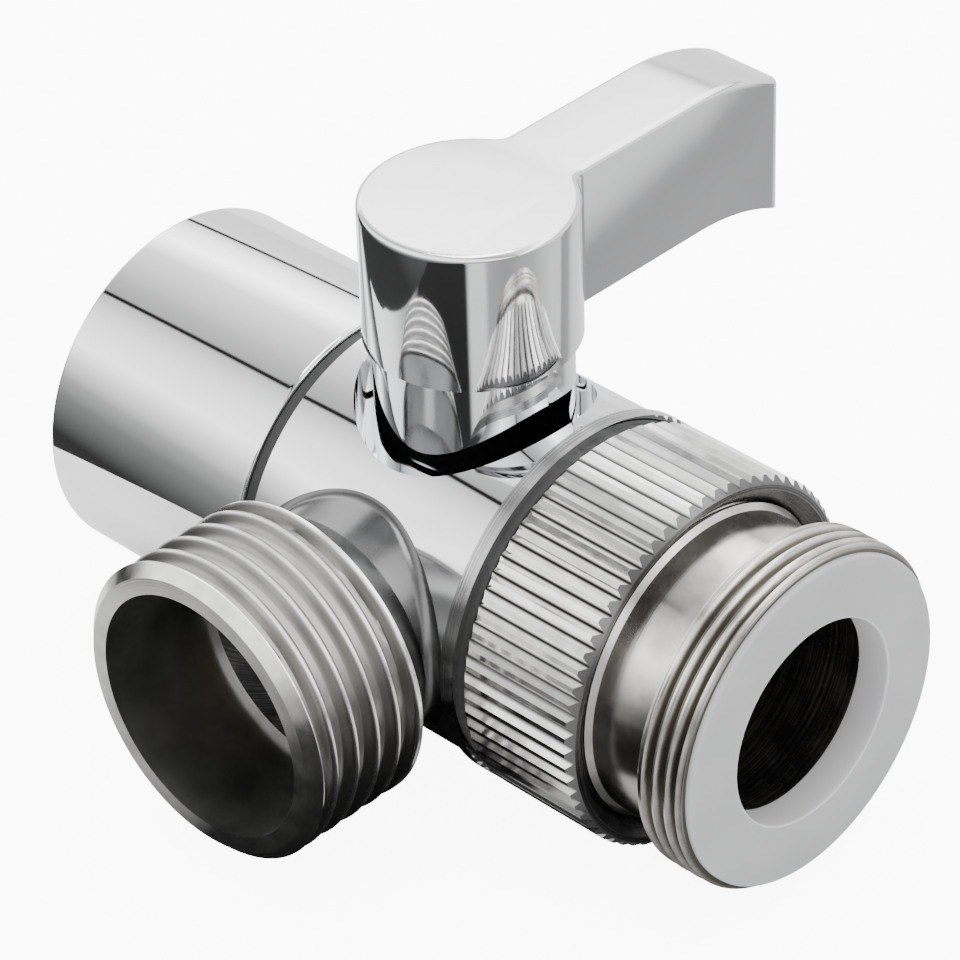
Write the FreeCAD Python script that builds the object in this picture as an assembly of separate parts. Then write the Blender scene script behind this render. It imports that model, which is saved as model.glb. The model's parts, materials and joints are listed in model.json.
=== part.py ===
import FreeCAD, Part
import math
import os

from FreeCAD import Vector

os.makedirs("parts", exist_ok=True)

# Millimetres. The origin is the centre of the inlet end, +X leaves the inlet,
# +Z is up along the handle axis, and the side outlet points along -Y.

# Fits
RUNNING_GAP = 0.05
THREAD_GAP = 0.05
TURNING_FACE_GAP = 0.05
EDGE_BREAK = 0.3
SOFT_EDGE_BREAK = 0.1
LOOSE_GAP = 0.1

# How far a cutter passes the faces that it cuts
OVERCUT = 1.0

# Lengths along the main axis, from the inlet end back to the aerator end
INLET_THREAD_LENGTH = 4.0
INLET_NECK_LENGTH = 4.2
NUT_LENGTH = 9.55
SLIP_RING_LENGTH = 0.55
FLANGE_LENGTH = 1.05
HANDLE_TO_FLANGE = 8.95
HANDLE_TO_SHOULDER = 9.2
RING_SEAL_LENGTH = 0.95
HOUSING_LENGTH = 18.05

# Inlet thread adapter
INLET_THREAD_RADIUS = 11.93
INLET_RIM_RADIUS = 11.6
INLET_RIM_CHAMFER = 0.4
INLET_THREAD_RUNOUT = 0.5
ADAPTER_NECK_RECESS = 0.45
ADAPTER_TAIL_HIDDEN = 0.6
ADAPTER_WALL = 2.5
WASHER_SEAT_RADIUS = 9.6
WASHER_SEAT_DEPTH = 1.9
WASHER_PROUD = 0.5
WASHER_RADIUS = 11.35
WASHER_HOLE_RADIUS = 7.1
ADAPTER_GASKET_LENGTH = 1.15
GASKET_HOLE_RECESS = 0.3
GASKET_RECESS = 0.75

# Swivel nut
KNURL_TEETH = 68
KNURL_DEPTH = 0.42
KNURL_CREST_SHARE = 0.28
KNURL_END_DEPTH = 0.05
KNURL_END_CHAMFER = 0.55
NUT_WALL = 1.9
NUT_MOUTH_FLARE = 1.05
NUT_MOUTH_DEPTH = 0.9
NUT_LIP_LENGTH = 2.35
NUT_LIP_DEPTH = 1.55
SPIGOT_PAST_GROOVE = 0.5
SPIGOT_WALL = 2.2
GROOVE_LENGTH = 0.9
GROOVE_DEPTH = 0.7
SNAP_RING_PROUD = 0.9
SNAP_RING_GAP_DEG = 24.0
SLIP_RING_RECESS = 0.55

# Valve body
BODY_RADIUS = 12.5
FLANGE_RISE = 0.35
PORT_RADIUS = 4.6
PORT_START = 8.2
REAR_SPIGOT_LENGTH = 6.8
REAR_UNDERCUT_DEPTH = 1.0
REAR_UNDERCUT_LENGTH = 1.4

# Side outlet
OUTLET_END = 25.3
OUTLET_THREAD_LENGTH = 9.4
OUTLET_THREAD_RADIUS = 10.45
OUTLET_FACE_RADIUS = 9.7
OUTLET_CHAMFER_LENGTH = 0.7
OUTLET_BORE_RADIUS = 8.55
OUTLET_BORE_DEPTH = 8.8
OUTLET_LEDGE_RADIUS = 8.0
OUTLET_INNER_RADIUS = 6.0
OUTLET_INNER_LENGTH = 1.5
OUTLET_INNER_WALL = 1.0
OUTLET_NECK_RADIUS = 8.0
OUTLET_CONE_LENGTH = 2.7
OUTLET_CONE_RADIUS = 9.9
NECK_FILLET = 0.9

# Pocket, liner and bonnet round the handle axis
POCKET_RADIUS = 7.8
POCKET_FLOOR = 8.0
CHAMBER_RADIUS = 7.2
CHAMBER_FLOOR = -7.4
LINER_THICKNESS = 0.9
LINER_TOP = 4.5
LINER_PORT_RADIUS = 4.4
THRUST_WASHER_LENGTH = 0.5
BONNET_THREAD_TOP = 8.3
COLLAR_RADIUS = 6.5
COLLAR_TOP = 16.4
BOSS_RADIUS = 5.0
BOSS_TOP = 17.6

# Plug and stem
PLUG_END_GAP = 0.1
PLUG_PORT_RADIUS = 4.2
STEM_RADIUS = 3.0
STEM_SQUARE = 4.2
STEM_SHOULDER = 17.8
STEM_TOP = 23.4
O_RING_LOWER = 7.4
O_RING_UPPER = 10.6
O_RING_WIRE_RADIUS = 0.4
O_RING_GROOVE_DEPTH = 0.8
O_RING_GROOVE_LENGTH = 1.1

# Handle
HUB_RADIUS = 7.1
HUB_BOTTOM = 16.5
HANDLE_TOP = 26.5
HUB_RECESS_RADIUS = 5.3
LEVER_HALF_WIDTH = 3.2
LEVER_REACH = 26.0
LEVER_BEND_START = 18.0
LEVER_TOP_DROP = 2.2
LEVER_BASE_DROP = 2.1
LEVER_ROOT_FILLET = 1.3
LEVER_END_ROUND = 1.0
HANDLE_EDGE_ROUND = 0.5
SCREW_LEVEL = 20.6
SOCKET_TOP_GAP = 0.3
SCREW_RADIUS = 1.5
SCREW_POINT_CHAMFER = 0.4
SCREW_LENGTH = 3.6
SCREW_KEY_RADIUS = 0.85
SCREW_KEY_DEPTH = 1.8

# Aerator
HOUSING_RADIUS = 12.3
HOUSING_WALL = 1.8
HOUSING_THREAD_WALL = 1.4
HOUSING_LIP_DEPTH = 1.1
HOUSING_LIP_LENGTH = 1.0
HOUSING_LIP_CHAMFER = 0.5
RING_SEAL_RECESS = 0.35
RING_SEAL_GAP = 0.02
AERATOR_GASKET_LENGTH = 1.25
AERATOR_GASKET_WIDTH = 2.95
CUP_WALL = 1.1
CUP_STEP = 0.4
CUP_LIP_DEPTH = 0.65
CUP_LIP_LENGTH = 0.45
SCREEN_THICKNESS = 0.5
SCREEN_HOLE_RADIUS = 0.8
SCREEN_HOLE_PITCH = 2.3
SCREEN_RIM = 0.8
DIFFUSER_LENGTH = 3.2
DIFFUSER_HOLES = 20
DIFFUSER_HOLE_RADIUS = 0.6
DIFFUSER_RIM_WALL = 0.7
DIFFUSER_FLOOR_LENGTH = 1.28
DIFFUSER_JET_INSET = 2.6
DIFFUSER_CONE_INSET = 5.1
DIFFUSER_CONE_RISE = 0.8
HONEYCOMB_LENGTH = 1.8
HONEYCOMB_PITCH = 2.5
HONEYCOMB_WALL = 0.32
HONEYCOMB_RIM = 0.4

# Stations along X worked out from the lengths above
NECK_X = -INLET_THREAD_LENGTH
NUT_FRONT_X = NECK_X - INLET_NECK_LENGTH
NUT_REAR_X = NUT_FRONT_X - NUT_LENGTH
SLIP_FRONT_X = NUT_REAR_X - TURNING_FACE_GAP
FLANGE_FRONT_X = SLIP_FRONT_X - SLIP_RING_LENGTH
FLANGE_REAR_X = FLANGE_FRONT_X - FLANGE_LENGTH
HANDLE_X = FLANGE_REAR_X - HANDLE_TO_FLANGE
SHOULDER_X = HANDLE_X - HANDLE_TO_SHOULDER
HOUSING_FRONT_X = SHOULDER_X - RING_SEAL_LENGTH
HOUSING_END_X = HOUSING_FRONT_X - HOUSING_LENGTH
LIP_FRONT_X = NUT_REAR_X + NUT_LIP_LENGTH
GROOVE_REAR_X = LIP_FRONT_X + TURNING_FACE_GAP
GROOVE_FRONT_X = GROOVE_REAR_X + GROOVE_LENGTH
SPIGOT_END_X = GROOVE_FRONT_X + SPIGOT_PAST_GROOVE
GASKET_REAR_X = SPIGOT_END_X + TURNING_FACE_GAP
ADAPTER_REAR_X = GASKET_REAR_X + ADAPTER_GASKET_LENGTH
TAIL_FRONT_X = NUT_FRONT_X - ADAPTER_TAIL_HIDDEN
REAR_SPIGOT_END_X = SHOULDER_X - REAR_SPIGOT_LENGTH
AERATOR_TOP_X = REAR_SPIGOT_END_X - AERATOR_GASKET_LENGTH
SCREEN_END_X = AERATOR_TOP_X - SCREEN_THICKNESS
CUP_STEP_X = SCREEN_END_X - DIFFUSER_LENGTH
LIP_SEAT_X = HOUSING_END_X + HOUSING_LIP_LENGTH
CUP_END_X = LIP_SEAT_X + TURNING_FACE_GAP
CUP_LIP_X = CUP_END_X + CUP_LIP_LENGTH

# Radii that follow from a fit
FLANGE_RADIUS = BODY_RADIUS + FLANGE_RISE
NUT_RADIUS = FLANGE_RADIUS
SLIP_RING_RADIUS = NUT_RADIUS - SLIP_RING_RECESS
NUT_THREAD_RADIUS = NUT_RADIUS - NUT_WALL
NUT_MOUTH_RADIUS = NUT_THREAD_RADIUS + NUT_MOUTH_FLARE
SPIGOT_RADIUS = NUT_THREAD_RADIUS - NUT_LIP_DEPTH
GROOVE_RADIUS = SPIGOT_RADIUS - GROOVE_DEPTH
SNAP_RING_RADIUS = SPIGOT_RADIUS + SNAP_RING_PROUD
MAIN_BORE_RADIUS = GROOVE_RADIUS - SPIGOT_WALL
ADAPTER_NECK_RADIUS = NUT_THREAD_RADIUS - ADAPTER_NECK_RECESS
ADAPTER_BORE_RADIUS = ADAPTER_NECK_RADIUS - ADAPTER_WALL
GASKET_RADIUS = NUT_THREAD_RADIUS - GASKET_RECESS
GASKET_HOLE_RADIUS = MAIN_BORE_RADIUS + GASKET_HOLE_RECESS
HOUSING_SEAT_RADIUS = HOUSING_RADIUS - HOUSING_WALL
HOUSING_LIP_RADIUS = HOUSING_SEAT_RADIUS - HOUSING_LIP_DEPTH
REAR_THREAD_RADIUS = HOUSING_RADIUS - HOUSING_THREAD_WALL
REAR_UNDERCUT_RADIUS = REAR_THREAD_RADIUS - REAR_UNDERCUT_DEPTH
LINER_RADIUS = CHAMBER_RADIUS - THREAD_GAP
LINER_BORE = LINER_RADIUS - LINER_THICKNESS
PLUG_RADIUS = LINER_BORE - RUNNING_GAP
PLUG_TOP = LINER_TOP - PLUG_END_GAP
BONNET_BOTTOM = LINER_TOP + THRUST_WASHER_LENGTH
CUP_RADIUS = HOUSING_SEAT_RADIUS - RUNNING_GAP
CUP_BORE = CUP_RADIUS - CUP_WALL
CUP_STEP_RADIUS = CUP_BORE - CUP_STEP
CUP_LIP_RADIUS = CUP_STEP_RADIUS - CUP_LIP_DEPTH

X_AXIS = Vector(1, 0, 0)
Y_AXIS = Vector(0, 1, 0)
Z_AXIS = Vector(0, 0, 1)
HANDLE_ORIGIN = Vector(HANDLE_X, 0, 0)

# Tolerance for telling edges apart by where they are
TOUCH = 0.02


def along(axis, origin=Vector(0, 0, 0)):
    """Return the placement that carries +Z onto an axis at an origin."""
    return FreeCAD.Placement(origin, FreeCAD.Rotation(Z_AXIS, axis))


def turned(profile, axis=Z_AXIS, origin=Vector(0, 0, 0)):
    """Turn a closed list of (distance along the axis, radius) into a solid."""
    points = [Vector(radius, 0, level) for level, radius in profile]
    face = Part.Face(Part.makePolygon(points + [points[0]]))
    solid = face.revolve(Vector(0, 0, 0), Z_AXIS, 360)
    solid.Placement = along(axis, origin)
    return solid


def ring(start, end, inner, outer, axis=Z_AXIS, origin=Vector(0, 0, 0)):
    """Return a plain ring between two distances along an axis."""
    return turned([(start, inner), (start, outer), (end, outer), (end, inner)], axis, origin)


def rod(start, end, radius, axis=Z_AXIS, origin=Vector(0, 0, 0)):
    """Return a cylinder between two distances along an axis."""
    base = origin + axis * min(start, end)
    return Part.makeCylinder(radius, abs(end - start), base, axis)


def six_sided(radius, start, end, axis=Z_AXIS, origin=Vector(0, 0, 0)):
    """Return a six-sided prism between two distances along an axis."""
    corners = []
    for corner in range(7):
        turn = math.radians(60 * corner)
        corners.append(Vector(radius * math.cos(turn), radius * math.sin(turn), start))
    prism = Part.Face(Part.makePolygon(corners)).extrude(Z_AXIS * (end - start))
    prism.Placement = along(axis, origin)
    return prism


def joined(shapes):
    """Fuse a list of solids into one and merge the faces that continue."""
    result = shapes[0].multiFuse(shapes[1:])
    return result.removeSplitter()


def placed(shape, origin):
    """Return a copy of a shape moved by an origin."""
    moved = shape.copy()
    moved.translate(origin)
    return moved


def rounded(shape, radius, wanted):
    """Round the edges that a test picks, or leave the shape as it is."""
    edges = [edge for edge in shape.Edges if wanted(edge)]
    if not edges:
        return shape
    try:
        result = shape.makeFillet(radius, edges)
    except Exception:
        return shape
    good = result.isValid() and len(result.Solids) == 1
    return result.Solids[0] if good else shape


def valve_body():
    """Cast body: barrel, flange, both spigots, side outlet and chamber."""
    barrel = turned([
        (REAR_SPIGOT_END_X, 0),
        (REAR_SPIGOT_END_X, REAR_THREAD_RADIUS - EDGE_BREAK),
        (REAR_SPIGOT_END_X + EDGE_BREAK, REAR_THREAD_RADIUS),
        (SHOULDER_X - REAR_UNDERCUT_LENGTH, REAR_THREAD_RADIUS),
        (SHOULDER_X - REAR_UNDERCUT_LENGTH, REAR_UNDERCUT_RADIUS),
        (SHOULDER_X, REAR_UNDERCUT_RADIUS),
        (SHOULDER_X, BODY_RADIUS - EDGE_BREAK),
        (SHOULDER_X + EDGE_BREAK, BODY_RADIUS),
        (FLANGE_REAR_X, BODY_RADIUS),
        (FLANGE_REAR_X, FLANGE_RADIUS),
        (FLANGE_FRONT_X, FLANGE_RADIUS),
        (FLANGE_FRONT_X, SPIGOT_RADIUS),
        (GROOVE_REAR_X, SPIGOT_RADIUS),
        (GROOVE_REAR_X, GROOVE_RADIUS),
        (GROOVE_FRONT_X, GROOVE_RADIUS),
        (GROOVE_FRONT_X, SPIGOT_RADIUS),
        (SPIGOT_END_X - EDGE_BREAK, SPIGOT_RADIUS),
        (SPIGOT_END_X, SPIGOT_RADIUS - EDGE_BREAK),
        (SPIGOT_END_X, 0),
    ], X_AXIS)
    thread_start = OUTLET_END - OUTLET_THREAD_LENGTH
    outlet = turned([
        (0, 0),
        (0, OUTLET_NECK_RADIUS),
        (thread_start - OUTLET_CONE_LENGTH, OUTLET_NECK_RADIUS),
        (thread_start, OUTLET_CONE_RADIUS),
        (thread_start, OUTLET_THREAD_RADIUS),
        (OUTLET_END - OUTLET_CHAMFER_LENGTH, OUTLET_THREAD_RADIUS),
        (OUTLET_END, OUTLET_FACE_RADIUS),
        (OUTLET_END, 0),
    ], -Y_AXIS, HANDLE_ORIGIN)
    body = joined([barrel, outlet])
    saddle_depth = math.sqrt(BODY_RADIUS ** 2 - OUTLET_NECK_RADIUS ** 2)

    def on_saddle(edge):
        box = edge.BoundBox
        on_barrel = box.YMax < EDGE_BREAK - saddle_depth and box.YMin > -BODY_RADIUS - EDGE_BREAK
        round_neck = box.XLength > OUTLET_NECK_RADIUS and box.ZLength > OUTLET_NECK_RADIUS
        return on_barrel and round_neck

    body = rounded(body, NECK_FILLET, on_saddle)
    ledge = OUTLET_END - OUTLET_BORE_DEPTH
    cone_end = thread_start - OUTLET_CONE_LENGTH - OUTLET_INNER_WALL
    port_end = cone_end - OUTLET_INNER_LENGTH
    outlet_bore = turned([
        (0, 0),
        (0, PORT_RADIUS),
        (port_end, PORT_RADIUS),
        (port_end, OUTLET_INNER_RADIUS),
        (cone_end, OUTLET_INNER_RADIUS),
        (ledge, OUTLET_LEDGE_RADIUS),
        (ledge, OUTLET_BORE_RADIUS),
        (OUTLET_END + OVERCUT, OUTLET_BORE_RADIUS),
        (OUTLET_END + OVERCUT, 0),
    ], -Y_AXIS, HANDLE_ORIGIN)
    port_reach = PORT_START + OVERCUT
    cuts = [
        outlet_bore,
        rod(HANDLE_X + PORT_START, SPIGOT_END_X + OVERCUT, MAIN_BORE_RADIUS, X_AXIS),
        rod(REAR_SPIGOT_END_X - OVERCUT, HANDLE_X - PORT_START, MAIN_BORE_RADIUS, X_AXIS),
        rod(HANDLE_X - port_reach, HANDLE_X + port_reach, PORT_RADIUS, X_AXIS),
        rod(CHAMBER_FLOOR, POCKET_FLOOR + OVERCUT, CHAMBER_RADIUS, Z_AXIS, HANDLE_ORIGIN),
        rod(POCKET_FLOOR, FLANGE_RADIUS + OVERCUT, POCKET_RADIUS, Z_AXIS, HANDLE_ORIGIN),
    ]
    return body.cut(cuts[0].multiFuse(cuts[1:]))


def port_cutters(directions, radius, reach):
    """Return rods from the handle axis outwards, one for each direction."""
    return [rod(0, reach, radius, direction, HANDLE_ORIGIN) for direction in directions]


def port_liner():
    """Sleeve between the body's chamber and the plug, with three ports."""
    sleeve = ring(CHAMBER_FLOOR, LINER_TOP, LINER_BORE, LINER_RADIUS, Z_AXIS, HANDLE_ORIGIN)
    ports = port_cutters([X_AXIS, -X_AXIS, -Y_AXIS], LINER_PORT_RADIUS, CHAMBER_RADIUS + OVERCUT)
    return sleeve.cut(ports)


def diverter_plug():
    """Plug with its tee of ports, its stem, ring grooves and square end."""
    bottom = CHAMBER_FLOOR + PLUG_END_GAP
    groove_radius = STEM_RADIUS - O_RING_GROOVE_DEPTH
    profile = [(bottom, 0), (bottom, PLUG_RADIUS), (PLUG_TOP, PLUG_RADIUS), (PLUG_TOP, STEM_RADIUS)]
    for level in (O_RING_LOWER, O_RING_UPPER):
        low = level - O_RING_GROOVE_LENGTH / 2
        high = level + O_RING_GROOVE_LENGTH / 2
        profile += [(low, STEM_RADIUS), (low, groove_radius)]
        profile += [(high, groove_radius), (high, STEM_RADIUS)]
    profile += [(STEM_TOP - EDGE_BREAK, STEM_RADIUS), (STEM_TOP, STEM_RADIUS - EDGE_BREAK), (STEM_TOP, 0)]
    plug = turned(profile, Z_AXIS, HANDLE_ORIGIN)
    half = STEM_SQUARE / 2
    height = STEM_TOP + OVERCUT - STEM_SHOULDER
    blank = rod(STEM_SHOULDER, STEM_TOP + OVERCUT, STEM_RADIUS + OVERCUT, Z_AXIS, HANDLE_ORIGIN)
    square = Part.makeBox(2 * half, 2 * half, height, Vector(HANDLE_X - half, -half, STEM_SHOULDER))
    ports = port_cutters([X_AXIS, -X_AXIS, Y_AXIS], PLUG_PORT_RADIUS, PLUG_RADIUS + OVERCUT)
    return plug.cut(blank.cut(square)).cut(ports)


def o_ring(level):
    """Soft ring in one of the stem's grooves."""
    centre_radius = STEM_RADIUS - O_RING_GROOVE_DEPTH + O_RING_WIRE_RADIUS
    return Part.makeTorus(centre_radius, O_RING_WIRE_RADIUS, HANDLE_ORIGIN + Z_AXIS * level)


def bonnet_nut():
    """Collar that screws into the pocket and guides the stem."""
    thread_radius = CHAMBER_RADIUS - THREAD_GAP
    bore = STEM_RADIUS + RUNNING_GAP
    return turned([
        (BONNET_BOTTOM, bore),
        (BONNET_BOTTOM, thread_radius - EDGE_BREAK),
        (BONNET_BOTTOM + EDGE_BREAK, thread_radius),
        (BONNET_THREAD_TOP, thread_radius),
        (BONNET_THREAD_TOP, COLLAR_RADIUS),
        (COLLAR_TOP - EDGE_BREAK, COLLAR_RADIUS),
        (COLLAR_TOP, COLLAR_RADIUS - EDGE_BREAK),
        (COLLAR_TOP, BOSS_RADIUS),
        (BOSS_TOP, BOSS_RADIUS),
        (BOSS_TOP, bore),
    ], Z_AXIS, HANDLE_ORIGIN)


def thrust_washer():
    """Thin ring between the plug and the bonnet."""
    hole = STEM_RADIUS + LOOSE_GAP
    return ring(LINER_TOP, BONNET_BOTTOM, hole, LINER_RADIUS - LOOSE_GAP, Z_AXIS, HANDLE_ORIGIN)


def handle_plan():
    """Outline of the hub and lever seen from above, with blended roots."""
    low = HUB_BOTTOM - LEVER_BASE_DROP - OVERCUT
    height = HANDLE_TOP + OVERCUT - low
    hub = Part.makeCylinder(HUB_RADIUS, height, Vector(0, 0, low), Z_AXIS)
    bar = Part.makeBox(2 * LEVER_HALF_WIDTH, LEVER_REACH, height, Vector(-LEVER_HALF_WIDTH, 0, low))
    solid = joined([hub, bar])
    root_y = math.sqrt(HUB_RADIUS ** 2 - LEVER_HALF_WIDTH ** 2)

    def at_root(edge):
        box = edge.BoundBox
        upright = box.XLength < TOUCH and box.YLength < TOUCH
        return upright and abs(box.YMin - root_y) < TOUCH

    return rounded(solid, LEVER_ROOT_FILLET, at_root)


def handle_side():
    """Side view of the hub and lever: level, then bending down at the end."""
    run = LEVER_REACH - LEVER_BEND_START

    def arc(level, drop):
        radius = (run ** 2 + drop ** 2) / (2 * drop)
        angle = math.asin(run / radius)
        start = Vector(0, LEVER_BEND_START, level)
        half_run = radius * math.sin(angle / 2)
        half_drop = radius * (1 - math.cos(angle / 2))
        halfway = Vector(0, LEVER_BEND_START + half_run, level - half_drop)
        end = Vector(0, LEVER_REACH, level - drop)
        return start, halfway, end

    top_start, top_half, top_end = arc(HANDLE_TOP, LEVER_TOP_DROP)
    low_start, low_half, low_end = arc(HUB_BOTTOM, LEVER_BASE_DROP)
    side = HUB_RADIUS + OVERCUT
    back = -side
    edges = [
        Part.makeLine(Vector(0, back, HUB_BOTTOM), Vector(0, back, HANDLE_TOP)),
        Part.makeLine(Vector(0, back, HANDLE_TOP), top_start),
        Part.Arc(top_start, top_half, top_end).toShape(),
        Part.makeLine(top_end, low_end),
        Part.Arc(low_end, low_half, low_start).toShape(),
        Part.makeLine(low_start, Vector(0, back, HUB_BOTTOM)),
    ]
    face = Part.Face(Part.Wire(edges))
    face.translate(Vector(-side, 0, 0))
    return face.extrude(Vector(2 * side, 0, 0))


def handle():
    """Cast handle: round hub and lever in one piece."""
    shape = handle_plan().common(handle_side()).removeSplitter()

    def at_end(edge):
        box = edge.BoundBox
        upright = box.XLength < TOUCH and box.ZLength > LEVER_END_ROUND
        return upright and box.YMin > LEVER_REACH - TOUCH

    def on_top(edge):
        box = edge.BoundBox
        if box.ZMax < HANDLE_TOP - LEVER_TOP_DROP - TOUCH:
            return False
        if box.ZLength > LEVER_TOP_DROP + TOUCH:
            return False
        middle = edge.valueAt((edge.FirstParameter + edge.LastParameter) / 2)
        across = abs(middle.x) < LEVER_HALF_WIDTH - HANDLE_EDGE_ROUND
        inside = across and 0 < middle.y < LEVER_REACH - TOUCH
        return not inside

    shape = rounded(shape, LEVER_END_ROUND, at_end)
    shape = rounded(shape, HANDLE_EDGE_ROUND, on_top)
    half = STEM_SQUARE / 2 + RUNNING_GAP
    socket_top = STEM_TOP + SOCKET_TOP_GAP
    socket = Part.makeBox(2 * half, 2 * half, socket_top - HUB_BOTTOM, Vector(-half, -half, HUB_BOTTOM))
    recess = rod(HUB_BOTTOM - OVERCUT, STEM_SHOULDER, HUB_RECESS_RADIUS)
    tapped = rod(0, HUB_RADIUS + OVERCUT, SCREW_RADIUS + THREAD_GAP, -X_AXIS, Z_AXIS * SCREW_LEVEL)
    shape = shape.cut([socket, recess, tapped])
    return placed(shape, HANDLE_ORIGIN)


def handle_screw():
    """Headless screw that grips the square from the hub's rear side."""
    start = STEM_SQUARE / 2
    origin = HANDLE_ORIGIN + Z_AXIS * SCREW_LEVEL
    end = start + SCREW_LENGTH
    body = turned([
        (start, 0),
        (start, SCREW_RADIUS - SCREW_POINT_CHAMFER),
        (start + SCREW_POINT_CHAMFER, SCREW_RADIUS),
        (end, SCREW_RADIUS),
        (end, 0),
    ], -X_AXIS, origin)
    return body.cut(six_sided(SCREW_KEY_RADIUS, end - SCREW_KEY_DEPTH, end + OVERCUT, -X_AXIS, origin))


def slip_ring():
    """Dark ring between the flange and the swivel nut."""
    return ring(FLANGE_FRONT_X, SLIP_FRONT_X, SPIGOT_RADIUS + RUNNING_GAP, SLIP_RING_RADIUS, X_AXIS)


def swivel_nut():
    """Knurled nut: vee teeth all round, an inner lip and a threaded bore."""
    step = 2 * math.pi / KNURL_TEETH
    root = NUT_RADIUS - KNURL_DEPTH
    land = KNURL_CREST_SHARE / 2
    points = []
    for tooth in range(KNURL_TEETH):
        angle = tooth * step
        for offset, radius in ((-land, NUT_RADIUS), (land, NUT_RADIUS), (0.5, root)):
            turn = angle + offset * step
            points.append(Vector(0, radius * math.cos(turn), radius * math.sin(turn)))
    toothed = Part.Face(Part.makePolygon(points + [points[0]])).extrude(X_AXIS * NUT_LENGTH)
    toothed.translate(X_AXIS * NUT_REAR_X)
    end_radius = root - KNURL_END_DEPTH
    full_radius = NUT_RADIUS + KNURL_END_DEPTH
    envelope = turned([
        (NUT_REAR_X, 0),
        (NUT_REAR_X, end_radius),
        (NUT_REAR_X + KNURL_END_CHAMFER, full_radius),
        (NUT_FRONT_X - KNURL_END_CHAMFER, full_radius),
        (NUT_FRONT_X, end_radius),
        (NUT_FRONT_X, 0),
    ], X_AXIS)
    bore = turned([
        (NUT_REAR_X - OVERCUT, 0),
        (NUT_REAR_X - OVERCUT, SPIGOT_RADIUS + RUNNING_GAP),
        (LIP_FRONT_X, SPIGOT_RADIUS + RUNNING_GAP),
        (LIP_FRONT_X, NUT_THREAD_RADIUS),
        (NUT_FRONT_X - NUT_MOUTH_DEPTH, NUT_THREAD_RADIUS),
        (NUT_FRONT_X, NUT_MOUTH_RADIUS),
        (NUT_FRONT_X + OVERCUT, NUT_MOUTH_RADIUS),
        (NUT_FRONT_X + OVERCUT, 0),
    ], X_AXIS)
    return toothed.common(envelope).cut(bore)


def snap_ring():
    """Split ring in the spigot's groove that keeps the nut on."""
    low = GROOVE_REAR_X
    high = GROOVE_FRONT_X - LOOSE_GAP
    whole = ring(low, high, GROOVE_RADIUS, SNAP_RING_RADIUS, X_AXIS)
    gap = 2 * SNAP_RING_RADIUS * math.sin(math.radians(SNAP_RING_GAP_DEG / 2))
    slot = Part.makeBox(
        high - low + 2 * OVERCUT, SNAP_RING_RADIUS + OVERCUT, gap,
        Vector(low - OVERCUT, 0, -gap / 2))
    return whole.cut(slot)


def adapter_gasket():
    """Flat seal between the spigot's end and the adapter."""
    return ring(GASKET_REAR_X, ADAPTER_REAR_X, GASKET_HOLE_RADIUS, GASKET_RADIUS, X_AXIS)


def thread_adapter():
    """Adapter: hidden tail thread, smooth neck and the inlet thread."""
    tail = NUT_THREAD_RADIUS - THREAD_GAP
    return turned([
        (ADAPTER_REAR_X, ADAPTER_BORE_RADIUS),
        (ADAPTER_REAR_X, tail - EDGE_BREAK),
        (ADAPTER_REAR_X + EDGE_BREAK, tail),
        (TAIL_FRONT_X, tail),
        (TAIL_FRONT_X + EDGE_BREAK, ADAPTER_NECK_RADIUS),
        (NECK_X, ADAPTER_NECK_RADIUS),
        (NECK_X + INLET_THREAD_RUNOUT, INLET_THREAD_RADIUS),
        (-INLET_RIM_CHAMFER, INLET_THREAD_RADIUS),
        (0, INLET_RIM_RADIUS),
        (0, WASHER_SEAT_RADIUS),
        (-WASHER_SEAT_DEPTH, WASHER_SEAT_RADIUS),
        (-WASHER_SEAT_DEPTH, ADAPTER_BORE_RADIUS),
    ], X_AXIS)


def face_washer():
    """Stepped sealing washer seated in the adapter's end."""
    plug = WASHER_SEAT_RADIUS - THREAD_GAP
    return turned([
        (-WASHER_SEAT_DEPTH, WASHER_HOLE_RADIUS),
        (-WASHER_SEAT_DEPTH, plug),
        (0, plug),
        (0, WASHER_RADIUS),
        (WASHER_PROUD - SOFT_EDGE_BREAK, WASHER_RADIUS),
        (WASHER_PROUD, WASHER_RADIUS - SOFT_EDGE_BREAK),
        (WASHER_PROUD, WASHER_HOLE_RADIUS),
    ], X_AXIS)


def ring_seal():
    """Dark ring squeezed between the body's shoulder and the housing."""
    start = HOUSING_FRONT_X + TURNING_FACE_GAP
    hole = REAR_UNDERCUT_RADIUS + RING_SEAL_GAP
    return ring(start, SHOULDER_X, hole, HOUSING_RADIUS - RING_SEAL_RECESS, X_AXIS)


def aerator_housing():
    """Smooth cup that screws on the rear spigot and holds the insert."""
    thread_bore = REAR_THREAD_RADIUS + THREAD_GAP
    return turned([
        (HOUSING_FRONT_X, thread_bore),
        (HOUSING_FRONT_X, HOUSING_RADIUS - EDGE_BREAK),
        (HOUSING_FRONT_X - EDGE_BREAK, HOUSING_RADIUS),
        (HOUSING_END_X + EDGE_BREAK, HOUSING_RADIUS),
        (HOUSING_END_X, HOUSING_RADIUS - EDGE_BREAK),
        (HOUSING_END_X, HOUSING_LIP_RADIUS + HOUSING_LIP_CHAMFER),
        (HOUSING_END_X + HOUSING_LIP_CHAMFER, HOUSING_LIP_RADIUS),
        (LIP_SEAT_X, HOUSING_LIP_RADIUS),
        (LIP_SEAT_X, HOUSING_SEAT_RADIUS),
        (AERATOR_TOP_X, HOUSING_SEAT_RADIUS),
        (AERATOR_TOP_X, thread_bore),
    ], X_AXIS)


def aerator_gasket():
    """Flat seal between the rear spigot's end and the insert."""
    hole = CUP_RADIUS - AERATOR_GASKET_WIDTH
    return ring(AERATOR_TOP_X, REAR_SPIGOT_END_X - TURNING_FACE_GAP, hole, CUP_RADIUS, X_AXIS)


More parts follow.
